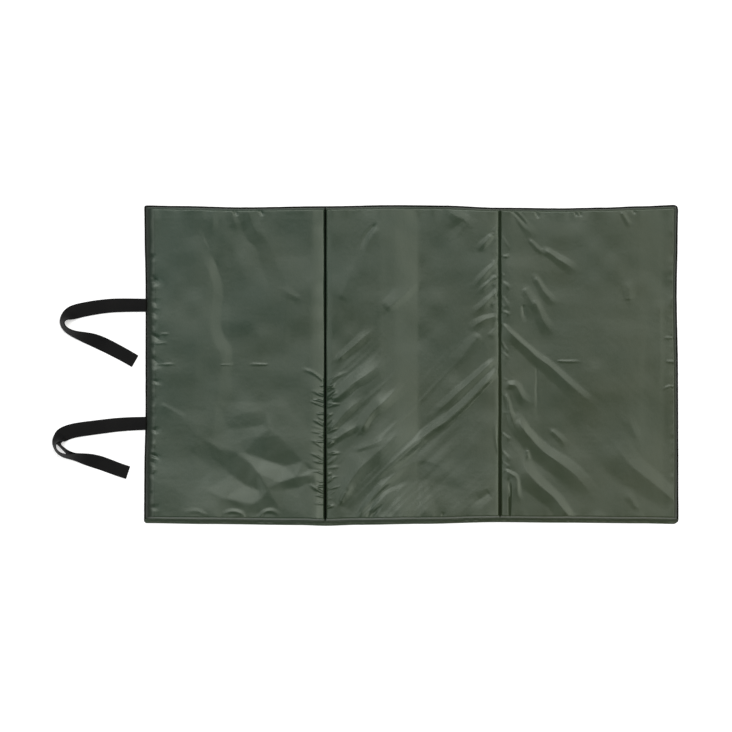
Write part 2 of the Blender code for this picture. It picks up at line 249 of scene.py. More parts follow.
def strapFrames(strap, values):
    route, bendShare = strap["route"], strap["bendShare"]
    edgeX = float(placed(np.array(-halfLength), np.array(route[0][1]))[0]) + values["sewnIn"]
    flat = [Vector((edgeX - out, y, 0)) for out, y in route]
    count = values["steps"]
    points = smoothRoute(flat, count)
    frames = []
    for i, point in enumerate(points):
        before, after = points[max(i - 1, 0)], points[min(i + 1, count)]
        ahead = (after - before).normalized() if i else Vector((-1, 0, 0))
        inward = Vector((-ahead.y, ahead.x, 0))
        angle = strap["bendAngle"] * hump(i / count, bendShare, strap["rising"], values["settlingShare"])
        partingMiddle = bendShare + values["partingLagShare"]
        parted = hump(i / count, partingMiddle, values["partingShare"], values["partingShare"])
        offset = (values["ply"] + values["gap"]) / 2 + strap["parting"] * parted
        across = inward * math.cos(angle) + Vector((0, 0, math.sin(angle)))
        shift = values["shift"] * math.sin(math.pi * i / count) / 2
        height = (values["width"] / 2 + shift) * math.sin(angle) + values["lift"]
        height += (offset + values["ply"] / 2) * math.cos(angle)
        centre = point + Vector((0, 0, height))
        frames.append((centre, ahead, across, ahead.cross(across) * offset, shift))
    return frames


def makeStrap(name, strap, values):
    frames = strapFrames(strap, values)
    rows = [(c + out + across * shift, across) for c, _, across, out, shift in frames]
    centre, ahead, across, out, _ = frames[-1]
    for turn in values["endTurns"]:
        angle = math.radians(turn)
        rows.append((centre + out * math.cos(angle) + ahead * out.length * math.sin(angle), across))
    rows += [(c - out - across * shift, across) for c, _, across, out, shift in reversed(frames)]
    bm = bmesh.new()
    cells = values["cellsAcross"]
    bmesh.ops.create_grid(bm, x_segments=len(rows) - 1, y_segments=cells, size=1)
    uvLayer = bm.loops.layers.uv.new("flat")
    lengths = [0]
    for (a, _), (b, _) in zip(rows, rows[1:]):
        lengths.append(lengths[-1] + (b - a).length)
    flat = {}
    for vertex in bm.verts:
        i = round((vertex.co.x + 1) / 2 * (len(rows) - 1))
        share = vertex.co.y / 2
        vertex.co = rows[i][0] + rows[i][1] * values["width"] * share
        flat[vertex] = (lengths[i], share * values["width"])
    for face in bm.faces:
        for loop in face.loops:
            loop[uvLayer].uv = flat[loop.vert]
    bmesh.ops.recalc_face_normals(bm, faces=bm.faces)
    strapPiece = newPiece(name.replace("loop", "webbing"), bm, [strapWebbing])
    thickness = strapPiece.modifiers.new("thickness", "SOLIDIFY")
    thickness.thickness = values["ply"]
    thickness.offset = 0
    thickness.use_even_offset = True
    edges = strapPiece.modifiers.new("soft edges", "BEVEL")
    edges.width = values["edgeRound"]
    edges.segments = values["edgeSegments"]
    edges.limit_method = "ANGLE"
    edges.angle_limit = values["edgeAngle"]
    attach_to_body(strapPiece, "left_panel")
    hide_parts(name)


sharpAngle = math.radians(60)


def newPiece(name, bm, materials):
    mesh = bpy.data.meshes.new(name)
    bm.to_mesh(mesh)
    bm.free()
    mesh.shade_smooth()
    mesh.set_sharp_from_angle(angle=sharpAngle)
    for material in materials:
        mesh.materials.append(material)
    piece = bpy.data.objects.new(name, mesh)
    bpy.context.scene.collection.objects.link(piece)
    return piece


# Shader groups that several materials share
def newGroup(name, inputs, outputs):
    group = bpy.data.node_groups.new(name, "ShaderNodeTree")
    for label, kind, value in inputs:
        socket = group.interface.new_socket(label, in_out="INPUT", socket_type=kind)
        if value is not None:
            socket.default_value = value
    for label, kind in outputs:
        group.interface.new_socket(label, in_out="OUTPUT", socket_type=kind)
    nodes = group.nodes
    return group, nodes.new("NodeGroupInput"), nodes.new("NodeGroupOutput")


def mathNode(tree, operation, a, b=None, clamp=False):
    node = tree.nodes.new("ShaderNodeMath")
    node.operation = operation
    node.use_clamp = clamp
    for socket, value in zip(node.inputs, (a, b)):
        if value is None:
            continue
        if isinstance(value, (int, float)):
            socket.default_value = value
        else:
            tree.links.new(value, socket)
    return node.outputs[0]


weaveShape = {"pitch": 0.0006, "crossing": 0.35, "ribs": 0.4}


def makeWeaveGroup():
    # Plain weave from the flat coordinates: crossing threads, and how high each lies
    number, vector = "NodeSocketFloat", "NodeSocketVector"
    group, given, result = newGroup(
        "plain weave",
        [("Place", vector, None), *((way, number, weaveShape["pitch"]) for way in ("Along", "Across"))],
        [("Height", number), ("Thread", number)],
    )
    split = group.nodes.new("ShaderNodeSeparateXYZ")
    group.links.new(given.outputs["Place"], split.inputs[0])
    waves = []
    for axis, pitch in ((0, "Along"), (1, "Across")):
        turns = mathNode(group, "DIVIDE", split.outputs[axis], given.outputs[pitch])
        waves.append(mathNode(group, "SINE", mathNode(group, "MULTIPLY", turns, math.pi)))
    product = mathNode(group, "MULTIPLY", waves[0], waves[1])
    ribs = mathNode(group, "ADD", *(mathNode(group, "ABSOLUTE", wave) for wave in waves))
    crossing = mathNode(group, "MULTIPLY", product, weaveShape["crossing"])
    height = mathNode(group, "ADD", crossing, mathNode(group, "MULTIPLY", ribs, weaveShape["ribs"]))
    thread = mathNode(group, "ADD", mathNode(group, "MULTIPLY", product, 1 / 2), 1 / 2)
    group.links.new(height, result.inputs["Height"])
    group.links.new(thread, result.inputs["Thread"])
    return group


driftShape = {"size": 0.05, "detail": 2.0, "crinkleSize": 0.008, "crinkleDetail": 3.0, "roughness": 0.55}


def makeDriftGroup():
    # Slow change over the cloth, for colour, sheen and small crinkles
    number, vector = "NodeSocketFloat", "NodeSocketVector"
    group, given, result = newGroup(
        "cloth drift",
        [("Place", vector, None), ("Size", number, driftShape["size"]),
         ("Crinkle Size", number, driftShape["crinkleSize"])],
        [("Drift", number), ("Crinkle", number)],
    )
    for label, detail, output in (
        ("Size", driftShape["detail"], "Drift"), ("Crinkle Size", driftShape["crinkleDetail"], "Crinkle"),
    ):
        noise = group.nodes.new("ShaderNodeTexNoise")
        noise.inputs["Detail"].default_value = detail
        noise.inputs["Roughness"].default_value = driftShape["roughness"]
        group.links.new(given.outputs["Place"], noise.inputs["Vector"])
        group.links.new(mathNode(group, "DIVIDE", 1.0, given.outputs[label]), noise.inputs["Scale"])
        group.links.new(noise.outputs["Fac"], result.inputs[output])
    return group


weaveGroup = makeWeaveGroup()
driftGroup = makeDriftGroup()


def groupNode(tree, group, place, values):
    node = tree.nodes.new("ShaderNodeGroup")
    node.node_tree = group
    tree.links.new(place, node.inputs["Place"])
    for label, value in values.items():
        node.inputs[label].default_value = value
    return node


def mixColour(tree, factor, a, b, blend="MIX"):
    node = tree.nodes.new("ShaderNodeMix")
    node.data_type = "RGBA"
    node.blend_type = blend
    colourA, colourB = [s for s in node.inputs if s.type == "RGBA"]
    for socket, value in ((node.inputs[0], factor), (colourA, a), (colourB, b)):
        if isinstance(value, (int, float)):
            socket.default_value = value
        elif isinstance(value, tuple):
            socket.default_value = (*value, 1)
        else:
            tree.links.new(value, socket)
    return next(s for s in node.outputs if s.type == "RGBA")


def mapRange(tree, value, low, high):
    node = tree.nodes.new("ShaderNodeMapRange")
    tree.links.new(value, node.inputs["Value"])
    node.inputs["To Min"].default_value = low
    node.inputs["To Max"].default_value = high
    return node.outputs[0]


def bump(tree, height, distance, strength, normal=None):
    node = tree.nodes.new("ShaderNodeBump")
    node.inputs["Distance"].default_value = distance
    node.inputs["Strength"].default_value = strength
    tree.links.new(height, node.inputs["Height"])
    if normal:
        tree.links.new(normal, node.inputs["Normal"])
    return node.outputs["Normal"]


def edgeShare(tree, place, edges):
    # 0 along the mat's sides and 1 inside: where each side's change starts, and how wide it is
    split = tree.nodes.new("ShaderNodeSeparateXYZ")
    tree.links.new(place, split.inputs[0])
    x, y = split.outputs["X"], split.outputs["Y"]
    inside = {
        "left": (x, 1, halfLength), "right": (x, -1, halfLength),
        "rear": (y, -1, halfWidth), "front": (y, 1, halfWidth),
    }
    share = 1.0
    for side, (start, width) in edges.items():
        value, way, half = inside[side]
        away = mathNode(tree, "ADD", mathNode(tree, "MULTIPLY", value, way / width), (half - start) / width)
        share = mathNode(tree, "MINIMUM", away, share)
    return mathNode(tree, "MAXIMUM", share, 0.0)


def paintedLightLean(tree, place, lean):
    # Painted light: a slow change of tone over the mat, end to end and front to rear, for how the light falls
    # on the one-coloured cloth
    split = tree.nodes.new("ShaderNodeSeparateXYZ")
    tree.links.new(place, split.inputs[0])
    along = mathNode(tree, "MULTIPLY", split.outputs["X"], lean[0])
    return mathNode(tree, "ADD", along, mathNode(tree, "MULTIPLY", split.outputs["Y"], lean[1]))


clothDefaults = {
    "onUv": True,
    "driftRange": (-0.4, 1.4),
    "tint": (1, 1, 1),
    "sheenRoughness": 0.4,
    "weaveStrength": 0.6,
    "crinkleStrength": 1.0,
    "dullStart": 0.1,  # how much glossier than the cloth a dull edge ends, so that it fades out
}


def clothMaterial(name, values):
    # Woven cloth on the piece's own flat coordinates, with drift in tone, gloss and crinkles
    values = {**clothDefaults, **values}
    material = bpy.data.materials.new(name)
    material.use_nodes = True
    tree = material.node_tree
    shader = tree.nodes["Principled BSDF"]
    if values["onUv"]:
        uv = tree.nodes.new("ShaderNodeUVMap")
        uv.uv_map = "flat"
        place = uv.outputs[0]
    else:
        place = tree.nodes.new("ShaderNodeTexCoord").outputs["Object"]
    weave = groupNode(tree, weaveGroup, place, {"Along": values["along"], "Across": values["across"]})
    sizes = {"Size": values["driftSize"], "Crinkle Size": values["crinkleSize"]}
    drift = groupNode(tree, driftGroup, place, sizes)
    warmth = mapRange(tree, drift.outputs["Drift"], *values["driftRange"])
    # painted light: the tone leans across the mat
    if "lean" in values:
        warmth = mathNode(tree, "ADD", warmth, paintedLightLean(tree, place, values["lean"]), clamp=True)
    tone = mixColour(tree, warmth, values["coolColour"], values["warmColour"])
    shade = mapRange(tree, weave.outputs["Thread"], 1 - values["threadShade"], 1)
    colour = mixColour(tree, 1.0, tone, shade, "MULTIPLY")
    # Painted shade: the colour darkens towards the left, right and rear sides, where the pad's rounded walls
    # turn from the light
    if "darkEdge" in values:
        dark = mapRange(tree, edgeShare(tree, place, values["darkEdge"]), values["darkest"], 1)
        colour = mixColour(tree, 1.0, colour, dark, "MULTIPLY")
    tree.links.new(colour, shader.inputs["Base Color"])
    gloss, spread = values["roughness"], values["roughSpread"]
    rough = mapRange(tree, drift.outputs["Crinkle"], gloss - spread, gloss + spread)
    if "dullEdge" in values:
        inward = edgeShare(tree, place, values["dullEdge"])
        dull = mapRange(tree, inward, values["dullest"], gloss - values["dullStart"])
        rough = mathNode(tree, "MAXIMUM", rough, dull)
    tree.links.new(rough, shader.inputs["Roughness"])
    crinkled = bump(tree, drift.outputs["Crinkle"], values["crinkle"], values["crinkleStrength"])
    woven = bump(tree, weave.outputs["Height"], values["weave"], values["weaveStrength"], crinkled)
    tree.links.new(woven, shader.inputs["Normal"])
    shader.inputs["Specular IOR Level"].default_value = values["specular"]
    shader.inputs["Specular Tint"].default_value = (*values["tint"], 1)
    shader.inputs["Sheen Weight"].default_value = values["sheen"]
    shader.inputs["Sheen Roughness"].default_value = values["sheenRoughness"]
    return material


coverValues = {
    "along": 0.0007, "across": 0.0006, "driftSize": 0.12, "crinkleSize": 0.009,
    "coolColour": (0.0245, 0.0455, 0.0305), "warmColour": (0.0350, 0.0455, 0.0210), "threadShade": 0.18,
    # the lean is painted light, a change of tone across the mat
    "driftRange": (0.1, 0.9), "lean": (0.75, -0.45),  # the tone's change per metre, along and across
    "roughness": 0.24, "roughSpread": 0.04, "crinkle": 0.00010, "weave": 0.000012,
    "specular": 0.5, "tint": (0.92, 1.0, 0.88), "sheen": 0.0,
}
coverCloth = clothMaterial("olive_coated_nylon", {
    **coverValues,
    "dullest": 0.9,
    "dullEdge": {
        "left": (0.0030, 0.0180), "right": (0.0030, 0.0070), "rear": (0.0030, 0.0070),
        "front": (hemWidth - 0.0015, 0.0060),
    },
    # painted shade along the sides, darkest at the seams
    "darkest": 0.22,
    "darkEdge": {"left": (0.0020, 0.0200), "right": (0.0030, 0.0075), "rear": (0.0018, 0.0050)},
})
# The hem's copy of the cover's nylon, painted lighter: painted light that makes up for the shade the pad's
# front wall casts on it
hemClothPaintedLighter = clothMaterial("olive_hem_nylon", {
    **coverValues, "coolColour": (0.040, 0.066, 0.044), "warmColour": (0.052, 0.068, 0.035),
})
baseCloth = clothMaterial("black_coated_nylon", {
    "along": 0.0009, "across": 0.0009, "driftSize": 0.09, "crinkleSize": 0.011,
    "coolColour": (0.010, 0.012, 0.011), "warmColour": (0.016, 0.016, 0.014), "threadShade": 0.3,
    "roughness": 0.5, "roughSpread": 0.08, "crinkle": 0.0002, "weave": 0.00010,
    "specular": 0.4, "sheen": 0.05,
})
seamCloth = clothMaterial("black_rolled_seam", {
    "onUv": False, "along": 0.0009, "across": 0.0009, "driftSize": 0.03, "crinkleSize": 0.004,
    "coolColour": (0.007, 0.008, 0.006), "warmColour": (0.012, 0.012, 0.009), "threadShade": 0.3,
    "roughness": 0.8, "roughSpread": 0.08, "crinkle": 0.0004, "weave": 0.00004,
    "specular": 0.08, "sheen": 0.02,
})
seamThread = clothMaterial("olive_black_thread", {
    "onUv": False, "along": 0.0003, "across": 0.0003, "driftSize": 0.02, "crinkleSize": 0.002,
    "coolColour": (0.014, 0.018, 0.012), "warmColour": (0.024, 0.028, 0.018), "threadShade": 0.5,
    "roughness": 0.6, "roughSpread": 0.05, "crinkle": 0.0001, "weave": 0.00010,
    "specular": 0.3, "sheen": 0.1,
})
strapWebbing = clothMaterial("black_elastic_webbing", {
    "along": 0.0011, "across": 0.0016, "driftSize": 0.04, "crinkleSize": 0.003,
    "coolColour": (0.0060, 0.0060, 0.0064), "warmColour": (0.0105, 0.0100, 0.0098), "threadShade": 0.5,
    "roughness": 0.7, "roughSpread": 0.06, "crinkle": 0.0001, "weave": 0.00018,
    "specular": 0.12, "sheen": 0.03,
})

for strapName, strap in straps.items():
    makeStrap(f"{strapName}_strap_loop", strap, strapValues)

# The cover's upper surface
surface = {
    "rim": 0.0024,
    "seamInset": 0.0027,
    "hemInset": hemWidth - 0.0002,
    "fullness": 2.3,
    "crown": 0.0006,
    "crownPower": 4,
    "swells": ((0.0007, 0.085, 61), (0.00028, 0.085 / 2.6, 62)),  # height, size and seed
    "pucker": 0.0007,
    "puckerSize": 0.009,
    "puckerShares": (0.6, 0.4),
    "puckerRatio": 2.7,
    "sideRipple": {"reach": 0.030, "seed": 71},
    "endRipple": {"reach": 0.022, "seed": 81},
    "seamHold": 0.004,
    "foldHold": 0.003,
    "foldHoldStart": 0.0004,
    "facetLift": 0.68,
    "wrinkleLift": 0.88,
    "breadth": 1.25,
    "warp": 0.0008,
    "warpSize": 0.019,
    "warpSeeds": (67, 69),
}
padEdges = {
    "rear": {"reach": 0.0060, "wave": 0.22, "seed": 21},
    "front": {"reach": 0.0036, "wave": 0.25, "seed": 31},
    "left": {"reach": 0.0130, "wave": 0.38, "seed": 41},
    "right": {"reach": 0.0056, "wave": 0.18, "seed": 51},
}
foldWave = {  # how unevenly the cover sinks along a fold
    "least": 0.75, "share": 0.35, "size": 0.022, "shift": 900, "seed": 65, "power": 2, "pinchPower": 1.8,
}
foldShape = {
    "left": {"valley": 0.0045, "pinch": 0.0010, "sides": ((0.032, 0.0024), (0.016, 0.0014))},
    "right": {"valley": 0.0160, "pinch": 0.0010, "sides": ((0.012, 0.0010), (0.020, 0.0018))},
}

# Wrinkles: the crest's path in the photograph's pixels, its height and the widths of its two
# flanks in millimetres, the first on the left of the path's direction
wrinkles = {
    "left": [
        ([(210, 252), (217.5, 269), (222.5, 286), (222.5, 304), (221, 324), (225, 338), (232, 350),
          (233, 375), (231, 405), (229, 440)], -1.4, 26, 11),
        ([(212, 208), (213, 222), (210, 240)], 0.5, 5, 7),
        ([(231, 208), (235, 222), (238, 236)], 0.5, 5, 8),
        ([(234, 209), (238, 216)], -1.4, 2, 2),
        ([(259, 208), (263.5, 216)], -1.6, 1.8, 1.8),
        ([(247, 208), (252, 224), (262, 246)], 0.6, 8, 6),
        ([(240, 222), (246, 238), (257, 250), (262, 268), (272, 290), (281, 302)], -0.9, 13, 18),
        ([(278, 287), (288, 293), (299, 299)], 0.3, 5, 5),
        ([(160, 334.5), (169, 334.8)], 0.5, 1.8, 1.8),
        ([(152, 343.6), (168, 343.6)], 0.5, 1.8, 1.8),
        ([(157, 364.8), (175, 364.6)], 0.6, 1.6, 1.6),
        ([(221, 365.6), (235, 365.3)], 0.5, 1.6, 1.6),
        ([(247, 364.8), (267, 364.8)], 0.6, 1.6, 1.6),
        ([(159, 405), (170, 410), (182, 418), (188, 427)], 0.3, 4, 9),
        ([(222, 518), (226, 513), (234, 511.5), (242, 514), (245, 519)], 0.9, 2.8, 2.2),
        ([(259, 518), (264, 512), (271, 510.5), (277, 513), (280, 518)], 1.1, 2.8, 2.2),
        ([(180, 514), (196, 511), (207, 515)], 0.3, 3, 3),
        ([(300, 369), (313, 373), (324, 382)], 0.9, 2.2, 2.2),
        ([(310, 389.5), (324, 396)], 0.8, 2.0, 2.0),
    ],
    "middle": [
        ([(375, 226), (367, 235), (360, 251)], -0.8, 3, 3),
        ([(379, 229), (371, 240), (365, 254), (362, 280)], 0.5, 5, 9),
        ([(354, 250), (352, 270), (340, 300)], 0.7, 12, 12),
        ([(426, 275), (412, 288), (398, 301), (386, 311)], 1.1, 6, 13),
        ([(376, 327), (359, 342), (338, 360)], 1.5, 5, 5),
        ([(434, 406), (416, 422), (398, 436), (380, 451), (361, 468), (347, 487), (338, 504)], 2.9, 19, 18),
        ([(497, 413), (495.5, 430), (498, 455)], 0.6, 2.5, 2.5),
        ([(384, 357), (377, 367), (367, 375), (355, 383), (342, 394), (332, 402)], 2.7, 6, 9),
        ([(348, 371), (338, 377), (329, 385)], 0.8, 2.2, 2.2),
        ([(367, 395), (355, 404.5), (343.5, 416), (329, 431)], 2.2, 5, 8),
        ([(403, 381), (388, 399), (379, 407), (369.5, 417), (361, 431)], 2.3, 6, 9),
        ([(366, 421), (350, 431), (335, 440), (328, 446)], 2.0, 4, 7),
        ([(389, 437), (377, 443.5), (356, 450)], 0.6, 4, 5),
        ([(376, 452), (362, 466), (352, 478), (344, 490)], 0.9, 9, 7),
        ([(354, 483), (346, 494), (340, 503)], 1.1, 4, 4),
        ([(494, 361), (468, 384), (444, 406), (426, 423)], 1.7, 6, 5),
        ([(498, 370), (483, 386), (467, 403), (448, 420), (428, 434), (412, 448), (395, 463), (378, 479),
          (360, 497), (342, 518)], 2.6, 5, 7),
        ([(418, 459), (402, 469), (386, 483), (370, 500), (358, 518)], 1.8, 4, 5),
        ([(415, 468), (407, 479), (386, 490.5), (375.5, 499), (370.5, 508), (368, 518)], -1.0, 4, 4),
        ([(386, 496.5), (375.5, 505), (361, 519)], 1.3, 3.5, 4),
        ([(382.5, 503.5), (374, 513), (370, 520)], -1.5, 2, 2),
        ([(440, 436), (430, 468), (425, 519)], 1.0, 26, 60),
        ([(470, 506), (490, 494)], -0.7, 7, 7),
        ([(444, 512), (442, 520)], -1.0, 2, 2),
        ([(492, 235), (477, 252)], 1.3, 4, 4),
        ([(497, 262), (484, 275.5), (472, 291)], 1.1, 4, 4),
        ([(497, 276), (484, 287), (476, 296)], 0.9, 3, 3),
        ([(499, 290), (485, 304), (470, 317)], 1.2, 4.5, 4.5),
        ([(499, 317), (485, 320), (467.5, 331)], 1.2, 5, 5),
        ([(480, 335), (466, 352), (452, 372)], 0.8, 9, 9),
        ([(449, 213), (464, 221), (476, 231)], 0.5, 7, 7),
        ([(464, 220), (445, 236)], -0.4, 6, 6),
    ],
    "right": [
        ([(514, 208), (520, 218), (529, 230), (536, 240)], 0.9, 5, 5),
        ([(511, 208), (516, 213.5), (525, 224), (530, 231.5)], -1.3, 2.4, 2.4),
        ([(530, 240), (540, 251), (547, 256)], 0.7, 3, 3),
        ([(545, 250), (563, 262), (572.5, 269), (578, 276)], 1.1, 5, 6),
        ([(535, 277), (543.5, 291), (552, 300.5), (558, 308)], 1.0, 4, 5.5),
        ([(524, 288), (531, 302), (537, 316)], 0.7, 6, 6),
        ([(534, 300), (545, 324), (556, 339)], 1.0, 6, 7),
        ([(523, 306), (525, 323)], -0.8, 2.5, 2.5),
        ([(503, 327), (519, 341), (533, 353.7), (547, 364.5), (559, 374.5), (570.5, 385.5), (585, 398),
          (605, 414)], 1.7, 4.5, 9),
        ([(600, 425), (614, 445), (632, 467), (652.5, 483), (674, 501)], 1.4, 12, 18),
        ([(505, 385), (515.5, 386.5), (523, 398.5), (535, 405)], 1.2, 5, 6),
        ([(504.5, 394), (513, 423), (518, 439)], 1.1, 4, 4),
        ([(517, 419), (526.5, 434), (543.5, 452), (563, 466), (578, 479), (590, 495), (596, 506)],
         2.3, 8, 13),
        ([(509, 440), (522, 461), (530, 476), (543.5, 489.5), (555.5, 500), (564, 511), (571, 522)],
         2.2, 7.5, 12),
        ([(526.5, 450.5), (529, 462)], 0.9, 3, 3),
        ([(509.6, 474), (509.6, 498), (509.6, 520)], -2.6, 1.6, 1.3),
        ([(504, 470.5), (511, 474.5), (516, 479), (518, 494), (522, 506)], 1.4, 3, 8),
        ([(551, 431), (560, 439), (568, 449)], 0.7, 4, 4),
        ([(626, 414), (637, 438)], 0.3, 6, 6),
        ([(661, 300), (661, 340), (660, 380), (659, 420)], 0.9, 16, 14),
        ([(629, 279), (630, 301)], 0.6, 7, 7),
        ([(663, 338), (675, 338)], 0.6, 1.8, 1.8),
        ([(664, 362), (677, 362.4)], 0.6, 1.8, 1.8),
        ([(661, 391.5), (669.5, 387), (676, 388)], 0.7, 1.8, 1.8),
        ([(558, 361.5), (584, 361.6)], 0.5, 1.8, 1.8),
        ([(537, 366), (537, 396), (537, 424)], -0.5, 1.8, 1.8),
        ([(624, 490), (637, 509)], 0.4, 5, 5),
        ([(536, 210), (538.5, 218)], -1.1, 1.8, 1.8),
        ([(575, 211), (577, 216)], -0.8, 1.6, 1.6),
        ([(580, 211), (581, 216)], -0.8, 1.6, 1.6),
        ([(622, 212), (631, 229)], 0.6, 3, 3),
        ([(632, 210), (636, 215)], -0.9, 1.6, 1.6),
    ],
}


def toSeam(point):
    # How far a point is from the nearest side or fold
    toFold = min(abs(point.x - x0) for x0 in foldX.values())
    return min(halfLength - abs(point.x), halfWidth - abs(point.y), toFold)


wrinkleShape = {
    "steps": 8,  # between two points of a crest
    "reach": 4.5,  # how far out a flank may reach, in widths
    "narrow": 0.75,  # the width's share at the end next to a seam
    "opening": 0.6,  # and how much it grows along the crest
    "flank": 1.5,
    "crest": 0.04,  # how rounded the crest is
    "foot": 0.01,  # and the flank's foot
    "fade": 0.55,  # the share of the crest that fades out
    "start": 0.16,
    "startShare": 0.35,
}


def addWrinkle(x, y, z, points, height, leftWidth, rightWidth, breadth=1):
    # A ridge, or a furrow for a negative height, with a crisp crest and hollow flanks
    shape = wrinkleShape
    route = smoothRoute([fromPhoto(*point) for point in points], shape["steps"] * (len(points) - 1))
    reach = shape["reach"] * max(leftWidth, rightWidth) * millimetre
    xs, ys = [p.x for p in route], [p.y for p in route]
    near = (x > min(xs) - reach) & (x < max(xs) + reach) & (y > min(ys) - reach) & (y < max(ys) + reach)
    if not near.any():
        return
    px, py = x[near], y[near]
    best = np.full(px.shape, np.inf)
    signed, travel = np.zeros(px.shape), np.zeros(px.shape)
    for i, (a, b) in enumerate(zip(route, route[1:])):
        dx, dy = b.x - a.x, b.y - a.y
        share = np.clip(((px - a.x) * dx + (py - a.y) * dy) / (dx * dx + dy * dy), 0, 1)
        offX, offY = px - a.x - share * dx, py - a.y - share * dy
        distance = np.hypot(offX, offY)
        closer = distance < best
        best = np.where(closer, distance, best)
        side = np.where(dx * offY - dy * offX >= 0, 1, -1)
        signed = np.where(closer, distance * side, signed)
        travel = np.where(closer, (i + share) / (len(route) - 1), travel)
    away = travel if toSeam(route[0]) <= toSeam(route[-1]) else 1 - travel
    wide = np.where(signed >= 0, leftWidth, rightWidth) * breadth
    width = wide * (shape["narrow"] + shape["opening"] * away) * millimetre
    crest = shape["crest"]
    share = 1 + crest - np.sqrt((signed / (shape["flank"] * width)) ** 2 + crest**2)
    flank = (share + np.sqrt(share**2 + shape["foot"])) / 2
    taper = ease((1 - away) / shape["fade"]) * ease(away / shape["start"] + shape["startShare"])
    z[near] += height * millimetre * flank * taper


# Fishbone gathers where the cover was eased into a seam: the seam, the side they are on, where the
# row starts and ends, and their pitch, slope and length, all in the photograph's pixels, and their
# height and width in millimetres
gathers = [
    {"panel": "left", "foot": 324.6, "side": -1, "start": 386, "end": 506, "pitch": 5.2, "slope": -0.35,
     "length": 11, "height": 1.0, "width": 1.7, "seed": 3},
    {"panel": "middle", "foot": 326.0, "side": 1, "start": 384, "end": 508, "pitch": 5.2, "slope": -0.45,
     "length": 12, "height": 1.0, "width": 1.7, "seed": 5},
    {"panel": "middle", "foot": 498.6, "side": -1, "start": 226, "end": 344, "pitch": 7.5, "slope": 0.75,
     "length": 8, "height": 0.36, "width": 3.2, "seed": 8},
    {"panel": "right", "foot": 502.0, "side": 1, "start": 236, "end": 470, "pitch": 13.0, "slope": 0.9,
     "length": 7, "height": 0.45, "width": 2.4, "seed": 13},
    {"panel": "left", "foot": 145.5, "side": 1, "start": 262, "end": 508, "pitch": 9.0, "slope": -0.25,
     "length": 8, "height": 0.7, "width": 4.5, "seed": 21},
    {"panel": "left", "foot": 145.5, "side": 1, "start": 258, "end": 508, "pitch": 11.0, "slope": 0.35,
     "length": 14, "height": -1.3, "width": 4.0, "seed": 22},
]
gatherSpread = {  # the least and the most of each value's share, and of the bend in pixels
    "length": (0.35, 1.5),
    "slope": (-0.1, 2.1),
    "bend": (-1.2, 1.2),
    "height": (0.3, 1.5),
    "width": (0.7, 1.4),
    "pitch": (0.5, 1.6),
}


def gatherWrinkles(values):
    random = np.random.default_rng(values["seed"])
    spread = gatherSpread
    foot, rows, y = values["foot"], [], values["start"]
    while y < values["end"]:
        length = values["length"] * random.uniform(*spread["length"])
        slope = values["slope"] * random.uniform(*spread["slope"])
        far = foot + values["side"] * length
        middle = ((foot + far) / 2, y + slope * length / 2 + random.uniform(*spread["bend"]))
        height = values["height"] * random.uniform(*spread["height"])
        width = values["width"] * random.uniform(*spread["width"])
        rows.append(([(foot, y), middle, (far, y + slope * length)], height, width, width))
        y += values["pitch"] * random.uniform(*spread["pitch"])
    return rows


# Flat facets between sharp folds in the panels' lower parts: pixel, pixel, height in millimetres
leftFacets = [
    (150, 395, 0), (185, 398, 0), (215, 402, 0), (285, 402, 0), (318, 405, 0), (318, 440, 0), (152, 440, 0),
    (150, 480, 0), (152, 530, 0.7), (185, 530, 1.6), (213, 530, 2.2), (318, 470, 0), (319, 500, 0.4),
    (318, 530, 1.8),
    (235, 416, 0.5), (250, 413, 0.7), (266, 414, 0.5), (229, 429, -0.2), (246, 428, -0.4), (264, 425, 0.0),
    (241, 441, 0.5), (257, 438, 1.3), (268, 430, 1.4), (279, 437, 1.4), (291, 450, 1.2), (303, 462, 0.5),
    (262, 459.5, -1.0), (285, 466.5, -1.2), (309, 469.5, -0.6),
    (245, 453.5, 0.8), (251, 464, 1.8), (257, 472, 2.3), (268, 490, 3.0), (280, 483, 2.3), (296, 477.5, 2.0),
    (309, 476, 1.4), (315, 475, 0.9),
    (187, 426, 0.2), (204, 440, 0.9), (221, 450, 1.6), (237, 453.5, 1.2), (190, 452, -0.2), (214, 461, -0.2),
    (202, 479, 0.2), (213, 469.5, -0.4), (224, 468.5, -0.8), (232, 475.5, -1.0), (246, 485.5, -1.0),
    (259, 490, -0.2),
    (206, 490, 1.2), (224, 498.5, 2.2), (239, 502, 2.3), (253, 504, 2.2), (262, 497, 2.0),
    (190, 497, 1.1), (221, 506, 2.0), (237, 507, 1.6), (246, 511, 2.0), (266, 511, 1.1), (279, 508, 1.4),
    (285, 489, 0.0), (298, 487, -0.5), (309, 482, -0.6), (297, 499, 1.0), (302, 513, 1.7),
]
middleFacets = [
    (372, 500, 0), (385, 484, 0), (399, 470, -0.3), (424, 462, -0.4), (446, 470, 0), (462, 490, 0),
    (468, 534, 0), (352, 534, 0), (399, 484, -0.8), (425, 480, -0.8), (391, 508, 0.4), (401, 514, 2.6),
    (425, 515, 2.8), (436, 508, 0.9), (400, 534, 4.2), (427, 534, 4.4), (441, 534, 1.6),
]
facets = {"left": leftFacets, "middle": middleFacets}
facetGrid = {"cell": 0.0015, "margin": 6, "softness": 0.0032, "reach": 4, "slack": 1e-6}  # metres and cells


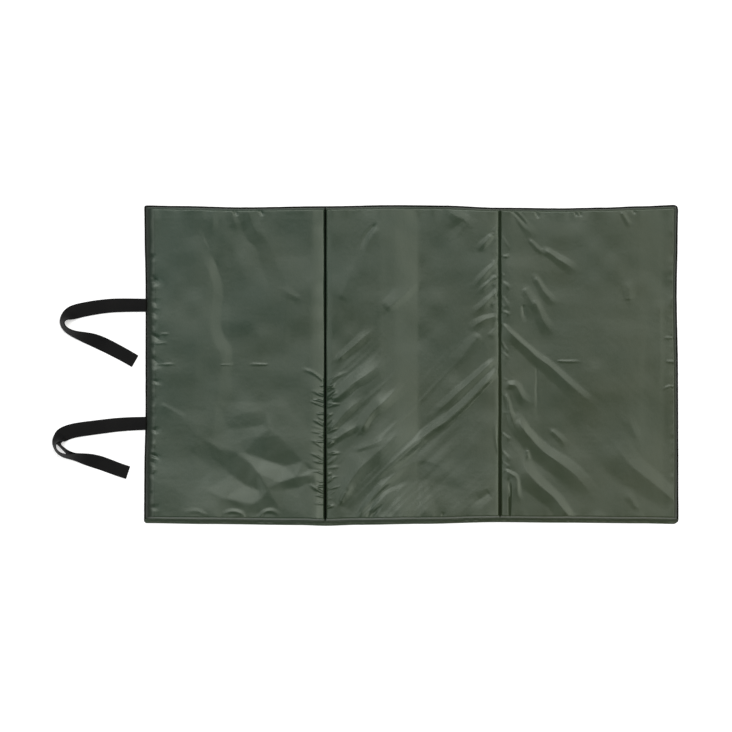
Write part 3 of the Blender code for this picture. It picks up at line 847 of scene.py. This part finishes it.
def facetHeight(x, y, table):
    # Straight facets between the table's points, eased a little along their folds
    places = [fromPhoto(px, py).xy for px, py, _ in table]
    slack, cell, reach = facetGrid["slack"], facetGrid["cell"], facetGrid["reach"]
    corners, _, faces, origins, _, _ = delaunay_2d_cdt(places, [], [], 0, slack)
    heights = [table[origin[0]][2] * surface["facetLift"] * millimetre for origin in origins]
    margin = facetGrid["margin"] * cell
    low = np.array([min(p.x for p in corners), min(p.y for p in corners)]) - margin
    high = np.array([max(p.x for p in corners), max(p.y for p in corners)]) + margin
    counts = np.ceil((high - low) / cell).astype(int) + 1
    lines = [start + cell * np.arange(count) for start, count in zip(low, counts)]
    gx, gy = np.meshgrid(*lines, indexing="ij")
    field = np.zeros(gx.shape)
    for face in faces:
        (ax, ay), (bx, by), (cx, cy) = (corners[i] for i in face)
        area = (bx - ax) * (cy - ay) - (cx - ax) * (by - ay)
        v = ((gx - ax) * (cy - ay) - (cx - ax) * (gy - ay)) / area
        w = ((bx - ax) * (gy - ay) - (gx - ax) * (by - ay)) / area
        inside = (v >= -slack) & (w >= -slack) & (v + w <= 1 + slack)
        flat = heights[face[0]] * (1 - v - w) + heights[face[1]] * v + heights[face[2]] * w
        field = np.where(inside, flat, field)
    steps = np.arange(-reach, reach + 1)
    weights = np.exp(-((steps * cell / facetGrid["softness"]) ** 2))
    weights /= weights.sum()
    for axis in (0, 1):
        field = sum(w * np.roll(field, s, axis) for s, w in zip(steps, weights))
    u = np.clip((x - low[0]) / cell, 0, counts[0] - 1 - slack)
    v = np.clip((y - low[1]) / cell, 0, counts[1] - 1 - slack)
    i, j = u.astype(int), v.astype(int)
    s, t = u - i, v - j
    nearRow = field[i, j] * (1 - t) + field[i, j + 1] * t
    farRow = field[i + 1, j] * (1 - t) + field[i + 1, j + 1] * t
    return nearRow * (1 - s) + farRow * s


# The lie of the cloth: soft folds along a slant, in each panel's own direction
drapes = {
    "left": [
        {"slant": 84, "length": 0.22, "width": 0.030, "height": 0.00030, "centre": (230, 300), "reach": 0.25,
         "seed": 201},
    ],
    "middle": [
        {"slant": 44, "length": 0.14, "width": 0.012, "height": 0.00020, "centre": (375, 440), "reach": 0.16,
         "seed": 211},
        {"slant": 47, "length": 0.06, "width": 0.005, "height": 0.00003, "centre": (370, 440), "reach": 0.15,
         "seed": 212},
    ],
    "right": [
        {"slant": -43, "length": 0.14, "width": 0.014, "height": 0.00010, "centre": (545, 420), "reach": 0.14,
         "seed": 221},
    ],
}
drapeShape = {"sway": 0.3, "swaySize": 0.7, "swaySeed": 5, "crest": 0.01}


def drapeHeight(x, y, panelName):
    z = np.zeros(x.shape)
    for values in drapes[panelName]:
        angle = math.radians(values["slant"])
        along = (x * math.cos(angle) + y * math.sin(angle)) / values["length"]
        across = (y * math.cos(angle) - x * math.sin(angle)) / values["width"]
        sway = cloudy(along, along * 0, drapeShape["swaySize"], values["seed"] + drapeShape["swaySeed"])
        fold = cloudy(along, across + drapeShape["sway"] * sway, 1, values["seed"])
        centre = fromPhoto(*values["centre"])
        far = np.hypot(x - centre.x, y - centre.y) / values["reach"]
        crest = 1 - 2 * np.sqrt(fold**2 + drapeShape["crest"])
        z += values["height"] * crest * np.exp(-(far**2))
    return z


# Broad bands over each panel, side by side and then front to rear: pixel and height in millimetres
bands = {
    "left": [(144, 0.0), (152, 0.2), (180, 1.3), (194, 1.6), (212, 0.7), (230, -0.6), (250, -0.4), (300, 1.0),
             (312, 0.9), (325, 0.2)],
    "middle": [(325, 0.0), (340, 1.0), (362, 1.8), (380, 2.3), (395, 1.1), (419, -2.1), (450, 0.1),
               (486, 1.7), (500, 1.1)],
    "right": [(500, 0.2), (512, 0.4), (540, -0.6), (575, 0.4), (600, 1.2), (620, 1.4), (640, 1.0),
              (664, -0.4), (680, 0.2)],
}
rowBands = {
    "left": [(206, 1.5), (222, 0.6), (250, 0.0), (390, -0.2), (440, 0.1), (480, 1.7), (524, 4.0), (550, 5.4)],
    "middle": [(206, 0.6), (250, 0.0), (370, -0.3), (420, 0.1), (480, 2.2), (524, 5.2), (550, 7.0)],
    "right": [(206, 0.6), (250, 0.0), (390, -0.2), (440, 0.1), (480, 1.5), (524, 3.6), (550, 4.9)],
}
bandTurns = {"across": (-4, -2, 0, 2, 4), "along": (-24, -12, 0, 12, 24)}  # millimetres, for soft turns


def bandHeight(x, y, panelName):
    places = [fromPhoto(px, 0).x for px, _ in bands[panelName]]
    heights = [height * millimetre for _, height in bands[panelName]]
    near = [np.interp(x + shift * millimetre, places, heights) for shift in bandTurns["across"]]
    rows = [fromPhoto(0, py).y for py, _ in rowBands[panelName]][::-1]
    rises = [height * millimetre for _, height in rowBands[panelName]][::-1]
    rowNear = [np.interp(y + shift * millimetre, rows, rises) for shift in bandTurns["along"]]
    return sum(near) / len(near) + sum(rowNear) / len(rowNear)


def edgeRise(distance, reach):
    share = np.clip(distance / reach, 0, 1)
    fullness = surface["fullness"]
    return np.maximum(1 - (1 - share) ** fullness, 0) ** (1 / fullness)


def pucker(place, seed):
    size, (fineShare, wideShare) = surface["puckerSize"], surface["puckerShares"]
    fine = cloudy(place, place * 0, size, seed)
    return fineShare * fine + wideShare * cloudy(place, place * 0, size * surface["puckerRatio"], seed + 1)


def inwardFrom(x, y):
    # How far a point is inside each side of the stuffed part
    return {
        "rear": halfWidth - surface["seamInset"] - y,
        "front": y + halfWidth - surface["hemInset"],
        "left": x + halfLength - surface["seamInset"],
        "right": halfLength - surface["seamInset"] - x,
    }


def laidFolds(x, y, panelName):
    # Every fold laid by hand on one panel's cover, held down at the seams
    folds = np.zeros(x.shape)
    bentX, bentY = (
        place + surface["warp"] * cloudy(x, y, surface["warpSize"], seed)
        for place, seed in zip((x, y), surface["warpSeeds"])
    )
    for points, height, leftWidth, rightWidth in wrinkles[panelName]:
        lift = height * surface["wrinkleLift"]
        addWrinkle(bentX, bentY, folds, points, lift, leftWidth, rightWidth, surface["breadth"])
    for values in gathers:
        if values["panel"] == panelName:
            for row in gatherWrinkles(values):
                addWrinkle(x, y, folds, *row)
    if panelName in facets:
        folds += facetHeight(x, y, facets[panelName])
    folds += drapeHeight(x, y, panelName)
    folds += bandHeight(x, y, panelName)
    for height, size, seed in surface["swells"]:
        folds += height * cloudy(x, y, size, seed)
    hold = ease(np.minimum.reduce(list(inwardFrom(x, y).values())) / surface["seamHold"])
    for x0 in foldX.values():
        hold = hold * ease((np.abs(x - x0) - surface["foldHoldStart"]) / surface["foldHold"])
    side, end = surface["sideRipple"], surface["endRipple"]
    toSide, toEnd = halfWidth - np.abs(y), halfLength - np.abs(x)
    ripples = surface["pucker"] * pucker(x, side["seed"]) * ease(1 - toSide / side["reach"])
    ripples += surface["pucker"] * pucker(y, end["seed"]) * ease(1 - toEnd / end["reach"])
    return (folds + ripples) * hold


def padHeight(x, y, panelName):
    # The stuffed pad under the folds: soft edges, the grooves at the fold seams and a slight crown
    level = np.full(x.shape, padTop - surface["crown"])
    for name, shape in foldShape.items():
        distance = np.abs(x - foldX[name])
        (lowerReach, lowerDrop), (upperReach, upperDrop) = shape["sides"]
        reach = np.where(x < foldX[name], lowerReach, upperReach)
        wave = cloudy(y, y * 0 + reach * foldWave["shift"], foldWave["size"], foldWave["seed"])
        uneven = foldWave["least"] + foldWave["share"] * wave
        drop = np.where(x < foldX[name], lowerDrop, upperDrop) * uneven
        slope = drop * (1 - np.clip(distance / reach, 0, 1)) ** foldWave["power"]
        depth = padTop - surface["crown"] - drop - shape["valley"]
        level -= slope + depth * np.exp(-((distance / shape["pinch"]) ** foldWave["pinchPower"]))
    lift = level - surface["rim"]
    for side, distance in inwardFrom(x, y).items():
        edge, along = padEdges[side], x if side in ("rear", "front") else y
        lift = lift * edgeRise(distance, edge["reach"] * (1 + edge["wave"] * pucker(along, edge["seed"])))
    low, high = panelEnds[panelName]
    along = np.clip(2 * (x - low) / (high - low) - 1, -1, 1)
    across = np.clip(y / halfWidth, -1, 1)
    power = surface["crownPower"]
    return surface["rim"] + lift + surface["crown"] * (1 - along**power) * (1 - across**power)


def topHeight(x, y, panelName):
    return padHeight(x, y, panelName) + laidFolds(x, y, panelName)


panelEnds = {
    "left": (-halfLength, foldX["left"]),
    "middle": (foldX["left"], foldX["right"]),
    "right": (foldX["right"], halfLength),
}

# The mat's five stretches: three pads, and the two strips that bend at the folds
cells = {
    "coarse": 0.0018,
    "rows": 0.0012,
    "fine": 0.00035,  # beside a seam
    "growth": 1.3,  # from one cell to the next, away from a seam
    "base": 0.005,
    "strip": 0.0125,  # how far from its fold a strip reaches
}


def gradedLines(low, high, fineLow, fineHigh, coarse):
    # Lines from low to high, close together at the ends that curve most
    def ramp(fine):
        steps, step = [], cells["fine"]
        while fine and step < coarse:
            steps.append(step)
            step *= cells["growth"]
        return steps

    start, end = ramp(fineLow), ramp(fineHigh)
    span = high - low - sum(start) - sum(end)
    count = max(math.ceil(span / coarse), 1)
    steps = start + [span / count] * count + end[::-1]
    return low + np.concatenate([[0], np.cumsum(steps)])


stretches = []
strip = cells["strip"]
for name, (low, high) in panelEnds.items():
    innerLow = low if name == "left" else low + strip
    innerHigh = high if name == "right" else high - strip
    stretches.append({"name": name, "low": innerLow, "high": innerHigh, "body": f"{name}_panel"})
for name, x0 in foldX.items():
    stretches.append({
        "name": f"{name}_fold", "low": x0 - strip, "high": x0 + strip, "fold": x0, "panel": f"{name}_panel",
    })


def attach(piece, stretch):
    # A panel's piece rides on its body, and a fold's piece keeps its place, its transform applied
    if "body" in stretch:
        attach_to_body(piece, stretch["body"])
        return
    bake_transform(piece)


def gridPiece(name, xs, ys, shape, materials, under=None, thickness=None):
    # A grid of cloth over the lines xs by ys, closed underneath by a flat face or a second layer
    bm = bmesh.new()
    bmesh.ops.create_grid(bm, x_segments=len(xs) - 1, y_segments=len(ys) - 1, size=1)
    if under is not None:
        made = bmesh.ops.extrude_edge_only(bm, edges=[e for e in bm.edges if e.is_boundary])["geom"]
    else:
        made = bmesh.ops.extrude_face_region(bm, geom=list(bm.faces))["geom"]
    lower = [item for item in made if isinstance(item, bmesh.types.BMVert)]
    bmesh.ops.translate(bm, verts=lower, vec=(0, 0, -1))
    if under is not None:
        bmesh.ops.contextual_create(bm, geom=[e for e in bm.edges if e.is_boundary])
    bmesh.ops.recalc_face_normals(bm, faces=bm.faces)
    bm.loops.layers.uv.new("flat")
    piece = newPiece(name, bm, materials)
    mesh = piece.data
    grid = np.empty(len(mesh.vertices) * 3)
    mesh.vertices.foreach_get("co", grid)
    grid = grid.reshape(-1, 3)
    x = xs[np.rint((grid[:, 0] + 1) / 2 * (len(xs) - 1)).astype(int)]
    y = ys[np.rint((grid[:, 1] + 1) / 2 * (len(ys) - 1)).astype(int)]
    z = shape(x, y)
    below = grid[:, 2] < 0
    z = np.where(below, under, z) if under is not None else np.where(below, z, z + thickness)
    mesh.vertices.foreach_set("co", np.column_stack([*placed(x, y), z]).ravel())
    corners = np.empty(len(mesh.loops), dtype=np.int32)
    mesh.loops.foreach_get("vertex_index", corners)
    mesh.uv_layers["flat"].uv.foreach_set("vector", np.column_stack([x, y])[corners].ravel())
    mesh.update()
    mesh.shade_smooth()
    mesh.set_sharp_from_angle(angle=sharpAngle)
    return piece


padUnder = 0.0021  # the height of a pad's flat underside
padFill = {"panel": 0.7, "fold": 0.1}


def foldedHeight(x, y, stretchName):
    # A fold strip takes each side's wrinkles from the panel that it joins
    x0 = foldX[stretchName.split("_")[0]]
    lowerName, upperName = ("left", "middle") if stretchName.startswith("left") else ("middle", "right")
    return np.where(x < x0, topHeight(x, y, lowerName), topHeight(x, y, upperName))


def makeTop(stretch):
    name = stretch["name"]
    low, high = stretch["low"], stretch["high"]
    rear, front = halfWidth - surface["seamInset"], -halfWidth + surface["hemInset"]
    ys = gradedLines(front, rear, True, True, cells["rows"])
    if "fold" in stretch:
        half = gradedLines(0, strip, True, False, cells["coarse"])
        xs = stretch["fold"] + np.concatenate([-half[:0:-1], half])
        title, height, fill = f"{name}_cover", foldedHeight, padFill["fold"]
        nodes = [f"{name}_web"]
    else:
        low += surface["seamInset"] if name == "left" else 0
        high -= surface["seamInset"] if name == "right" else 0
        xs = gradedLines(low, high, name == "left", name == "right", cells["coarse"])
        title, height, fill = f"{name}_pad", topHeight, padFill["panel"]
        nodes = [f"{name}_top_cover", f"{name}_foam_core"]
    piece = gridPiece(title, xs, ys, lambda x, y: height(x, y, name), [coverCloth], under=padUnder)
    attach(piece, stretch)
    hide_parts(*nodes)


for stretch in stretches:
    makeTop(stretch)
print("covers made")

# The base cloth under the foam, with shallow creases
baseValues = {
    "inset": 0.0012,
    "wave": 0.00049,
    "waveSize": 0.045,
    "waveSeed": 91,
    "cross": 0.00035,
    "crossSize": 0.027,
    "crossSeed": 92,
    "rim": 0.020,  # how far the creases fade towards the seam
    "thickness": 0.0006,
    "foldLift": 0.0013,
    "foldWidth": 0.004,
    "foldCalm": 0.012,
}


def baseHeight(x, y):
    values = baseValues
    z = values["wave"] * np.abs(cloudy(x, y, values["waveSize"], values["waveSeed"]))
    z += values["cross"] * np.abs(cloudy(x + y, x - y, values["crossSize"], values["crossSeed"]))
    z *= ease(np.minimum(halfWidth - np.abs(y), halfLength - np.abs(x)) / values["rim"])
    for x0 in foldX.values():
        near = np.abs(x - x0)
        z = z * ease(near / values["foldCalm"])
        z += values["foldLift"] * np.exp(-((near / values["foldWidth"]) ** 2))
    return np.minimum(z, values["foldLift"])


def makeBase(stretch):
    name, low, high = stretch["name"], stretch["low"], stretch["high"]
    inset = baseValues["inset"]
    low += inset if name == "left" else 0
    high -= inset if name == "right" else 0
    cell = cells["coarse"] if "fold" in stretch else cells["base"]
    xs = gradedLines(low, high, False, False, cell)
    ys = gradedLines(-halfWidth + inset, halfWidth - inset, False, False, cells["base"])
    piece = gridPiece(f"{name}_base", xs, ys, baseHeight, [baseCloth], thickness=baseValues["thickness"])
    attach(piece, stretch)
    if "body" in stretch:
        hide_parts(f"{name}_bottom_cover")


for stretch in stretches:
    makeBase(stretch)
print("base made")

# The rolled seam along the rear and both ends
seamValues = {
    "radius": 0.0015,
    "inset": 0.0013,
    "height": 0.0022,
    "step": 0.0025,
    "sides": 8,
    "roll": 0.16,
    "rollSeed": 101,
    "rise": 0.0004,
    "riseSeed": 111,
    "cornerShares": ((0.35, 0.0), (0.7, 0.0), (1.0, 0.0), (1.0, 0.3), (1.0, 0.65)),  # along, then down
}


def sweep(bm, points, radii, sides):
    # A closed tube through the points, made of rings joined by bridging
    rings = []
    for i, (point, radius) in enumerate(zip(points, radii)):
        ahead = (points[min(i + 1, len(points) - 1)] - points[max(i - 1, 0)]).normalized()
        turn = ahead.to_track_quat("Z", "Y").to_matrix().to_4x4()
        ring = bmesh.ops.create_circle(
            bm, segments=sides, radius=radius, cap_ends=False, matrix=Matrix.Translation(point) @ turn
        )["verts"]
        edges = {edge for vertex in ring for edge in vertex.link_edges}
        if rings:
            bmesh.ops.bridge_loops(bm, edges=list(edges | rings[-1]))
        rings.append(edges)
    for edges in (rings[0], rings[-1]):
        loop = [edge for edge in edges if edge.is_boundary]
        bmesh.ops.contextual_create(bm, geom=loop)


def seamRoute(stretch):
    inset, step = seamValues["inset"], seamValues["step"]
    rear, outer = halfWidth - inset, halfLength - inset
    name, low, high = stretch["name"], stretch["low"], stretch["high"]
    if name not in ("left", "right"):
        return [(x, rear) for x in np.linspace(low, high, max(round((high - low) / step), 2) + 1)]
    corner = outline[f"{name}Corner"]
    start = low if name == "right" else -high
    xs = np.linspace(start, outer - corner, round((outer - corner - start) / step) + 1)
    ys = np.linspace(rear - corner, -rear + inset, round((2 * rear - corner) / step) + 1)
    turns = [(outer - corner + corner * a, rear - corner * d) for a, d in seamValues["cornerShares"]]
    route = [(x, rear) for x in xs] + turns + [(outer, y) for y in ys]
    return route if name == "right" else [(-x, y) for x, y in route]


def makeSeam(stretch):
    name = stretch["name"]
    route = np.array(seamRoute(stretch))
    x, y = placed(route[:, 0], route[:, 1])
    roll = 1 + seamValues["roll"] * pucker(route[:, 0] + route[:, 1], seamValues["rollSeed"])
    rise = seamValues["rise"] * pucker(route[:, 0] - route[:, 1], seamValues["riseSeed"])
    height = seamValues["height"] + rise
    points = [Vector(p) for p in zip(x, y, height)]
    bm = bmesh.new()
    sweep(bm, points, seamValues["radius"] * roll, seamValues["sides"])
    bmesh.ops.recalc_face_normals(bm, faces=bm.faces)
    piece = newPiece(f"{name}_seam", bm, [seamCloth])
    attach(piece, stretch)
    if "body" in stretch:
        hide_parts(f"{name}_edge_seam")


for stretch in stretches:
    makeSeam(stretch)
print("edge seam made")

# The hem that closes the front, with its two rows of stitches
hemValues = {
    "thickness": 0.0022,
    "bottom": 0.0011,
    "inset": 0.0012,
    "edgeDrop": 0.00154,
    "rise": 0.0045,  # where the hem climbs the pad's front
    "turnPower": 6,
    "pucker": 0.0004,
    "puckerSeed": 121,
    "dent": 0.0003,
    "dentSize": 0.006,
    "dentSeed": 122,
    "rowShares": (0.22, 0.72),
    "groove": 0.0001,
    "grooveWidth": 0.0006,
    "cellX": 0.002,
    "cellY": 0.0005,
}
stitchValues = {
    "length": 0.0030,
    "gap": 0.0007,
    "radius": 0.00032,
    "rings": 5,
    "sides": 6,
    "hemProud": 0.00016,
    "foldPitch": 0.0034,
    "foldProud": 0.000192,
    "foldInset": 0.006,
}


def hemHeight(x, y):
    values = hemValues
    share = np.clip((y + halfWidth) / hemWidth, 0, 1)
    z = values["bottom"] + values["thickness"] + values["rise"] * share ** values["turnPower"]
    z -= values["edgeDrop"] * np.maximum(1 - 2 * share, 0) ** values["turnPower"]
    z += values["pucker"] * pucker(x, values["puckerSeed"])
    z += values["dent"] * cloudy(x, y, values["dentSize"], values["dentSeed"])
    for row in values["rowShares"]:
        z -= values["groove"] * np.exp(-(((share - row) * hemWidth / values["grooveWidth"]) ** 2))
    return z


def stitchRow(bm, route, heights):
    # One rounded stitch, copied and laid along each step of the route
    one = bmesh.new()
    bmesh.ops.create_uvsphere(
        one, u_segments=stitchValues["sides"], v_segments=stitchValues["rings"], radius=1
    )
    stitch = bpy.data.meshes.new("stitch")
    one.to_mesh(stitch)
    one.free()
    for (a, b), z in zip(route, heights):
        middle, along = (a + b) / 2, b - a
        turn = along.to_track_quat("X", "Z").to_matrix().to_4x4()
        size = Matrix.Diagonal((along.length / 2, stitchValues["radius"], stitchValues["radius"], 1))
        laid = stitch.copy()
        laid.transform(Matrix.Translation(middle + Vector((0, 0, z))) @ turn @ size)
        bm.from_mesh(laid)
        bpy.data.meshes.remove(laid)
    bpy.data.meshes.remove(stitch)


def makeHem(stretch):
    name, low, high = stretch["name"], stretch["low"], stretch["high"]
    low += hemValues["inset"] if name == "left" else 0
    high -= hemValues["inset"] if name == "right" else 0
    xs = gradedLines(low, high, False, False, hemValues["cellX"])
    ys = gradedLines(-halfWidth, -halfWidth + hemWidth, False, False, hemValues["cellY"])
    piece = gridPiece(f"{name}_hem", xs, ys, hemHeight, [hemClothPaintedLighter], under=hemValues["bottom"])
    attach(piece, stretch)
    bm = bmesh.new()
    pitch = stitchValues["length"] + stitchValues["gap"]
    count = max(round((high - low) / pitch), 1)
    for row in hemValues["rowShares"]:
        y = -halfWidth + row * hemWidth
        edges = np.linspace(low, high, count + 1)
        starts, ends = edges[:-1] + stitchValues["gap"] / 2, edges[1:] - stitchValues["gap"] / 2
        lefts, rights = placed(starts, starts * 0 + y), placed(ends, ends * 0 + y)
        route = [(Vector((a, b, 0)), Vector((c, d, 0))) for a, b, c, d in zip(*lefts, *rights)]
        heights = hemHeight((starts + ends) / 2, starts * 0 + y) + stitchValues["hemProud"]
        stitchRow(bm, route, heights)
    thread = newPiece(f"{name}_hem_stitches", bm, [seamThread])
    attach(thread, stretch)
    if "body" in stretch:
        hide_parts(f"{name}_front_hem")
        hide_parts(f"{name}_hem_stitching")


for stretch in stretches:
    makeHem(stretch)


def makeFoldStitches(stretch):
    x0, end = stretch["fold"], halfWidth - stitchValues["foldInset"]
    name = stretch["name"]
    edges = np.linspace(-end, end, round(2 * end / stitchValues["foldPitch"]) + 1)
    bm = bmesh.new()
    a, b = edges[:-1] + stitchValues["gap"] / 2, edges[1:] - stitchValues["gap"] / 2
    middle = (a + b) / 2
    route = [(Vector((x0, s, 0)), Vector((x0, e, 0))) for s, e in zip(a, b)]
    heights = foldedHeight(middle * 0 + x0, middle, name) + stitchValues["foldProud"]
    stitchRow(bm, route, heights)
    below = baseHeight(middle * 0 + x0, middle) - stitchValues["foldProud"]
    stitchRow(bm, route, np.maximum(below, stitchValues["radius"]))
    thread = newPiece(f"{name}_stitches", bm, [seamThread])
    attach(thread, stretch)
    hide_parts(f"{name}_stitching")


for stretch in stretches:
    if "fold" in stretch:
        makeFoldStitches(stretch)
print("hems and stitches made")

# Floor and light: a bright floor and long softboxes beside the mat and beyond its rear edge. Each is
# made of strips, dimmer towards the middle, under a dim room, so that what is flat stays dark and what
# tilts shines
lightValues = {
    "floor": 0.93,
    "floorSize": 6,
    "floorRoughness": 0.9,
    "floorSpecular": 0.1,
    "glow": 0.45,
    "world": 0.08,
    "horizon": 0.4,
    "horizonPower": 2.0,
    "front": 1.0,
    "frontPower": 5.0,
    "height": 20.0,
    "watts": 4,  # for a strip's radiance, on each square metre
    "softboxes": [  # turned from +X in degrees, with each strip's near edge, far edge and radiance
        {"name": "left", "turn": 180, "length": 15, "shift": 2.0, "colour": (0.95, 1.0, 1.0),
         "strips": [(3.2, 5.5, 0.6), (5.5, 9.5, 1.5)]},
        {"name": "right", "turn": 0, "length": 15, "shift": 2.0, "colour": (1.0, 1.0, 0.94),
         "strips": [(1.6, 4.0, 0.9), (4.0, 7.0, 1.9), (7.0, 12.0, 2.8)]},
        {"name": "rear", "turn": 90, "length": 16, "shift": 0, "colour": (1.0, 1.0, 1.0),
         "strips": [(0.8, 2.0, 0.5), (2.0, 3.8, 1.9), (3.8, 7.0, 3.3), (7.0, 13.0, 3.8)]},
    ],
}


def makeFloor(values):
    bm = bmesh.new()
    bmesh.ops.create_grid(bm, x_segments=1, y_segments=1, size=values["floorSize"])
    material = bpy.data.materials.new("white_floor")
    material.use_nodes = True
    shader = material.node_tree.nodes["Principled BSDF"]
    shader.inputs["Base Color"].default_value = (values["floor"], values["floor"], values["floor"], 1)
    shader.inputs["Roughness"].default_value = values["floorRoughness"]
    shader.inputs["Specular IOR Level"].default_value = values["floorSpecular"]
    shader.inputs["Emission Color"].default_value = (1, 1, 1, 1)
    shader.inputs["Emission Strength"].default_value = values["glow"]
    newPiece("floor", bm, [material])


def makeRoom(values):
    # A dim room, brighter towards the horizon and behind the mat's front edge
    world = bpy.data.worlds.new("studio")
    world.use_nodes = True
    tree = world.node_tree
    room = tree.nodes["Background"]
    room.inputs["Color"].default_value = (1, 1, 1, 1)
    split = tree.nodes.new("ShaderNodeSeparateXYZ")
    tree.links.new(tree.nodes.new("ShaderNodeTexCoord").outputs["Object"], split.inputs[0])
    low = mathNode(tree, "SUBTRACT", 1.0, mathNode(tree, "ABSOLUTE", split.outputs["Z"]))
    low = mathNode(tree, "POWER", low, values["horizonPower"])
    front = mathNode(tree, "MAXIMUM", mathNode(tree, "SUBTRACT", 0.0, split.outputs["Y"]), 0.0)
    front = mathNode(tree, "POWER", front, values["frontPower"])
    glow = mathNode(tree, "MULTIPLY", low, values["horizon"])
    glow = mathNode(tree, "ADD", glow, mathNode(tree, "MULTIPLY", front, values["front"]))
    tree.links.new(mathNode(tree, "ADD", glow, values["world"]), room.inputs["Strength"])
    bpy.context.scene.world = world


def makeSoftbox(box, height, watts):
    angle = math.radians(box["turn"])
    for i, (near, far, radiance) in enumerate(box["strips"]):
        light = bpy.data.lights.new(f"{box['name']} softbox strip {i}", "AREA")
        light.shape = "RECTANGLE"
        light.size, light.size_y = far - near, box["length"]
        light.energy = radiance * watts * light.size * light.size_y
        light.color = box["colour"]
        lamp = bpy.data.objects.new(light.name, light)
        out = (near + far) / 2
        lamp.location = (out * math.cos(angle), out * math.sin(angle) + box["shift"], height)
        lamp.rotation_euler = (0, 0, angle)
        lamp.visible_camera = False
        bpy.context.scene.collection.objects.link(lamp)


makeFloor(lightValues)
makeRoom(lightValues)
for box in lightValues["softboxes"]:
    makeSoftbox(box, lightValues["height"], lightValues["watts"])
bpy.context.scene.view_settings.view_transform = "Standard"
print("stage set")
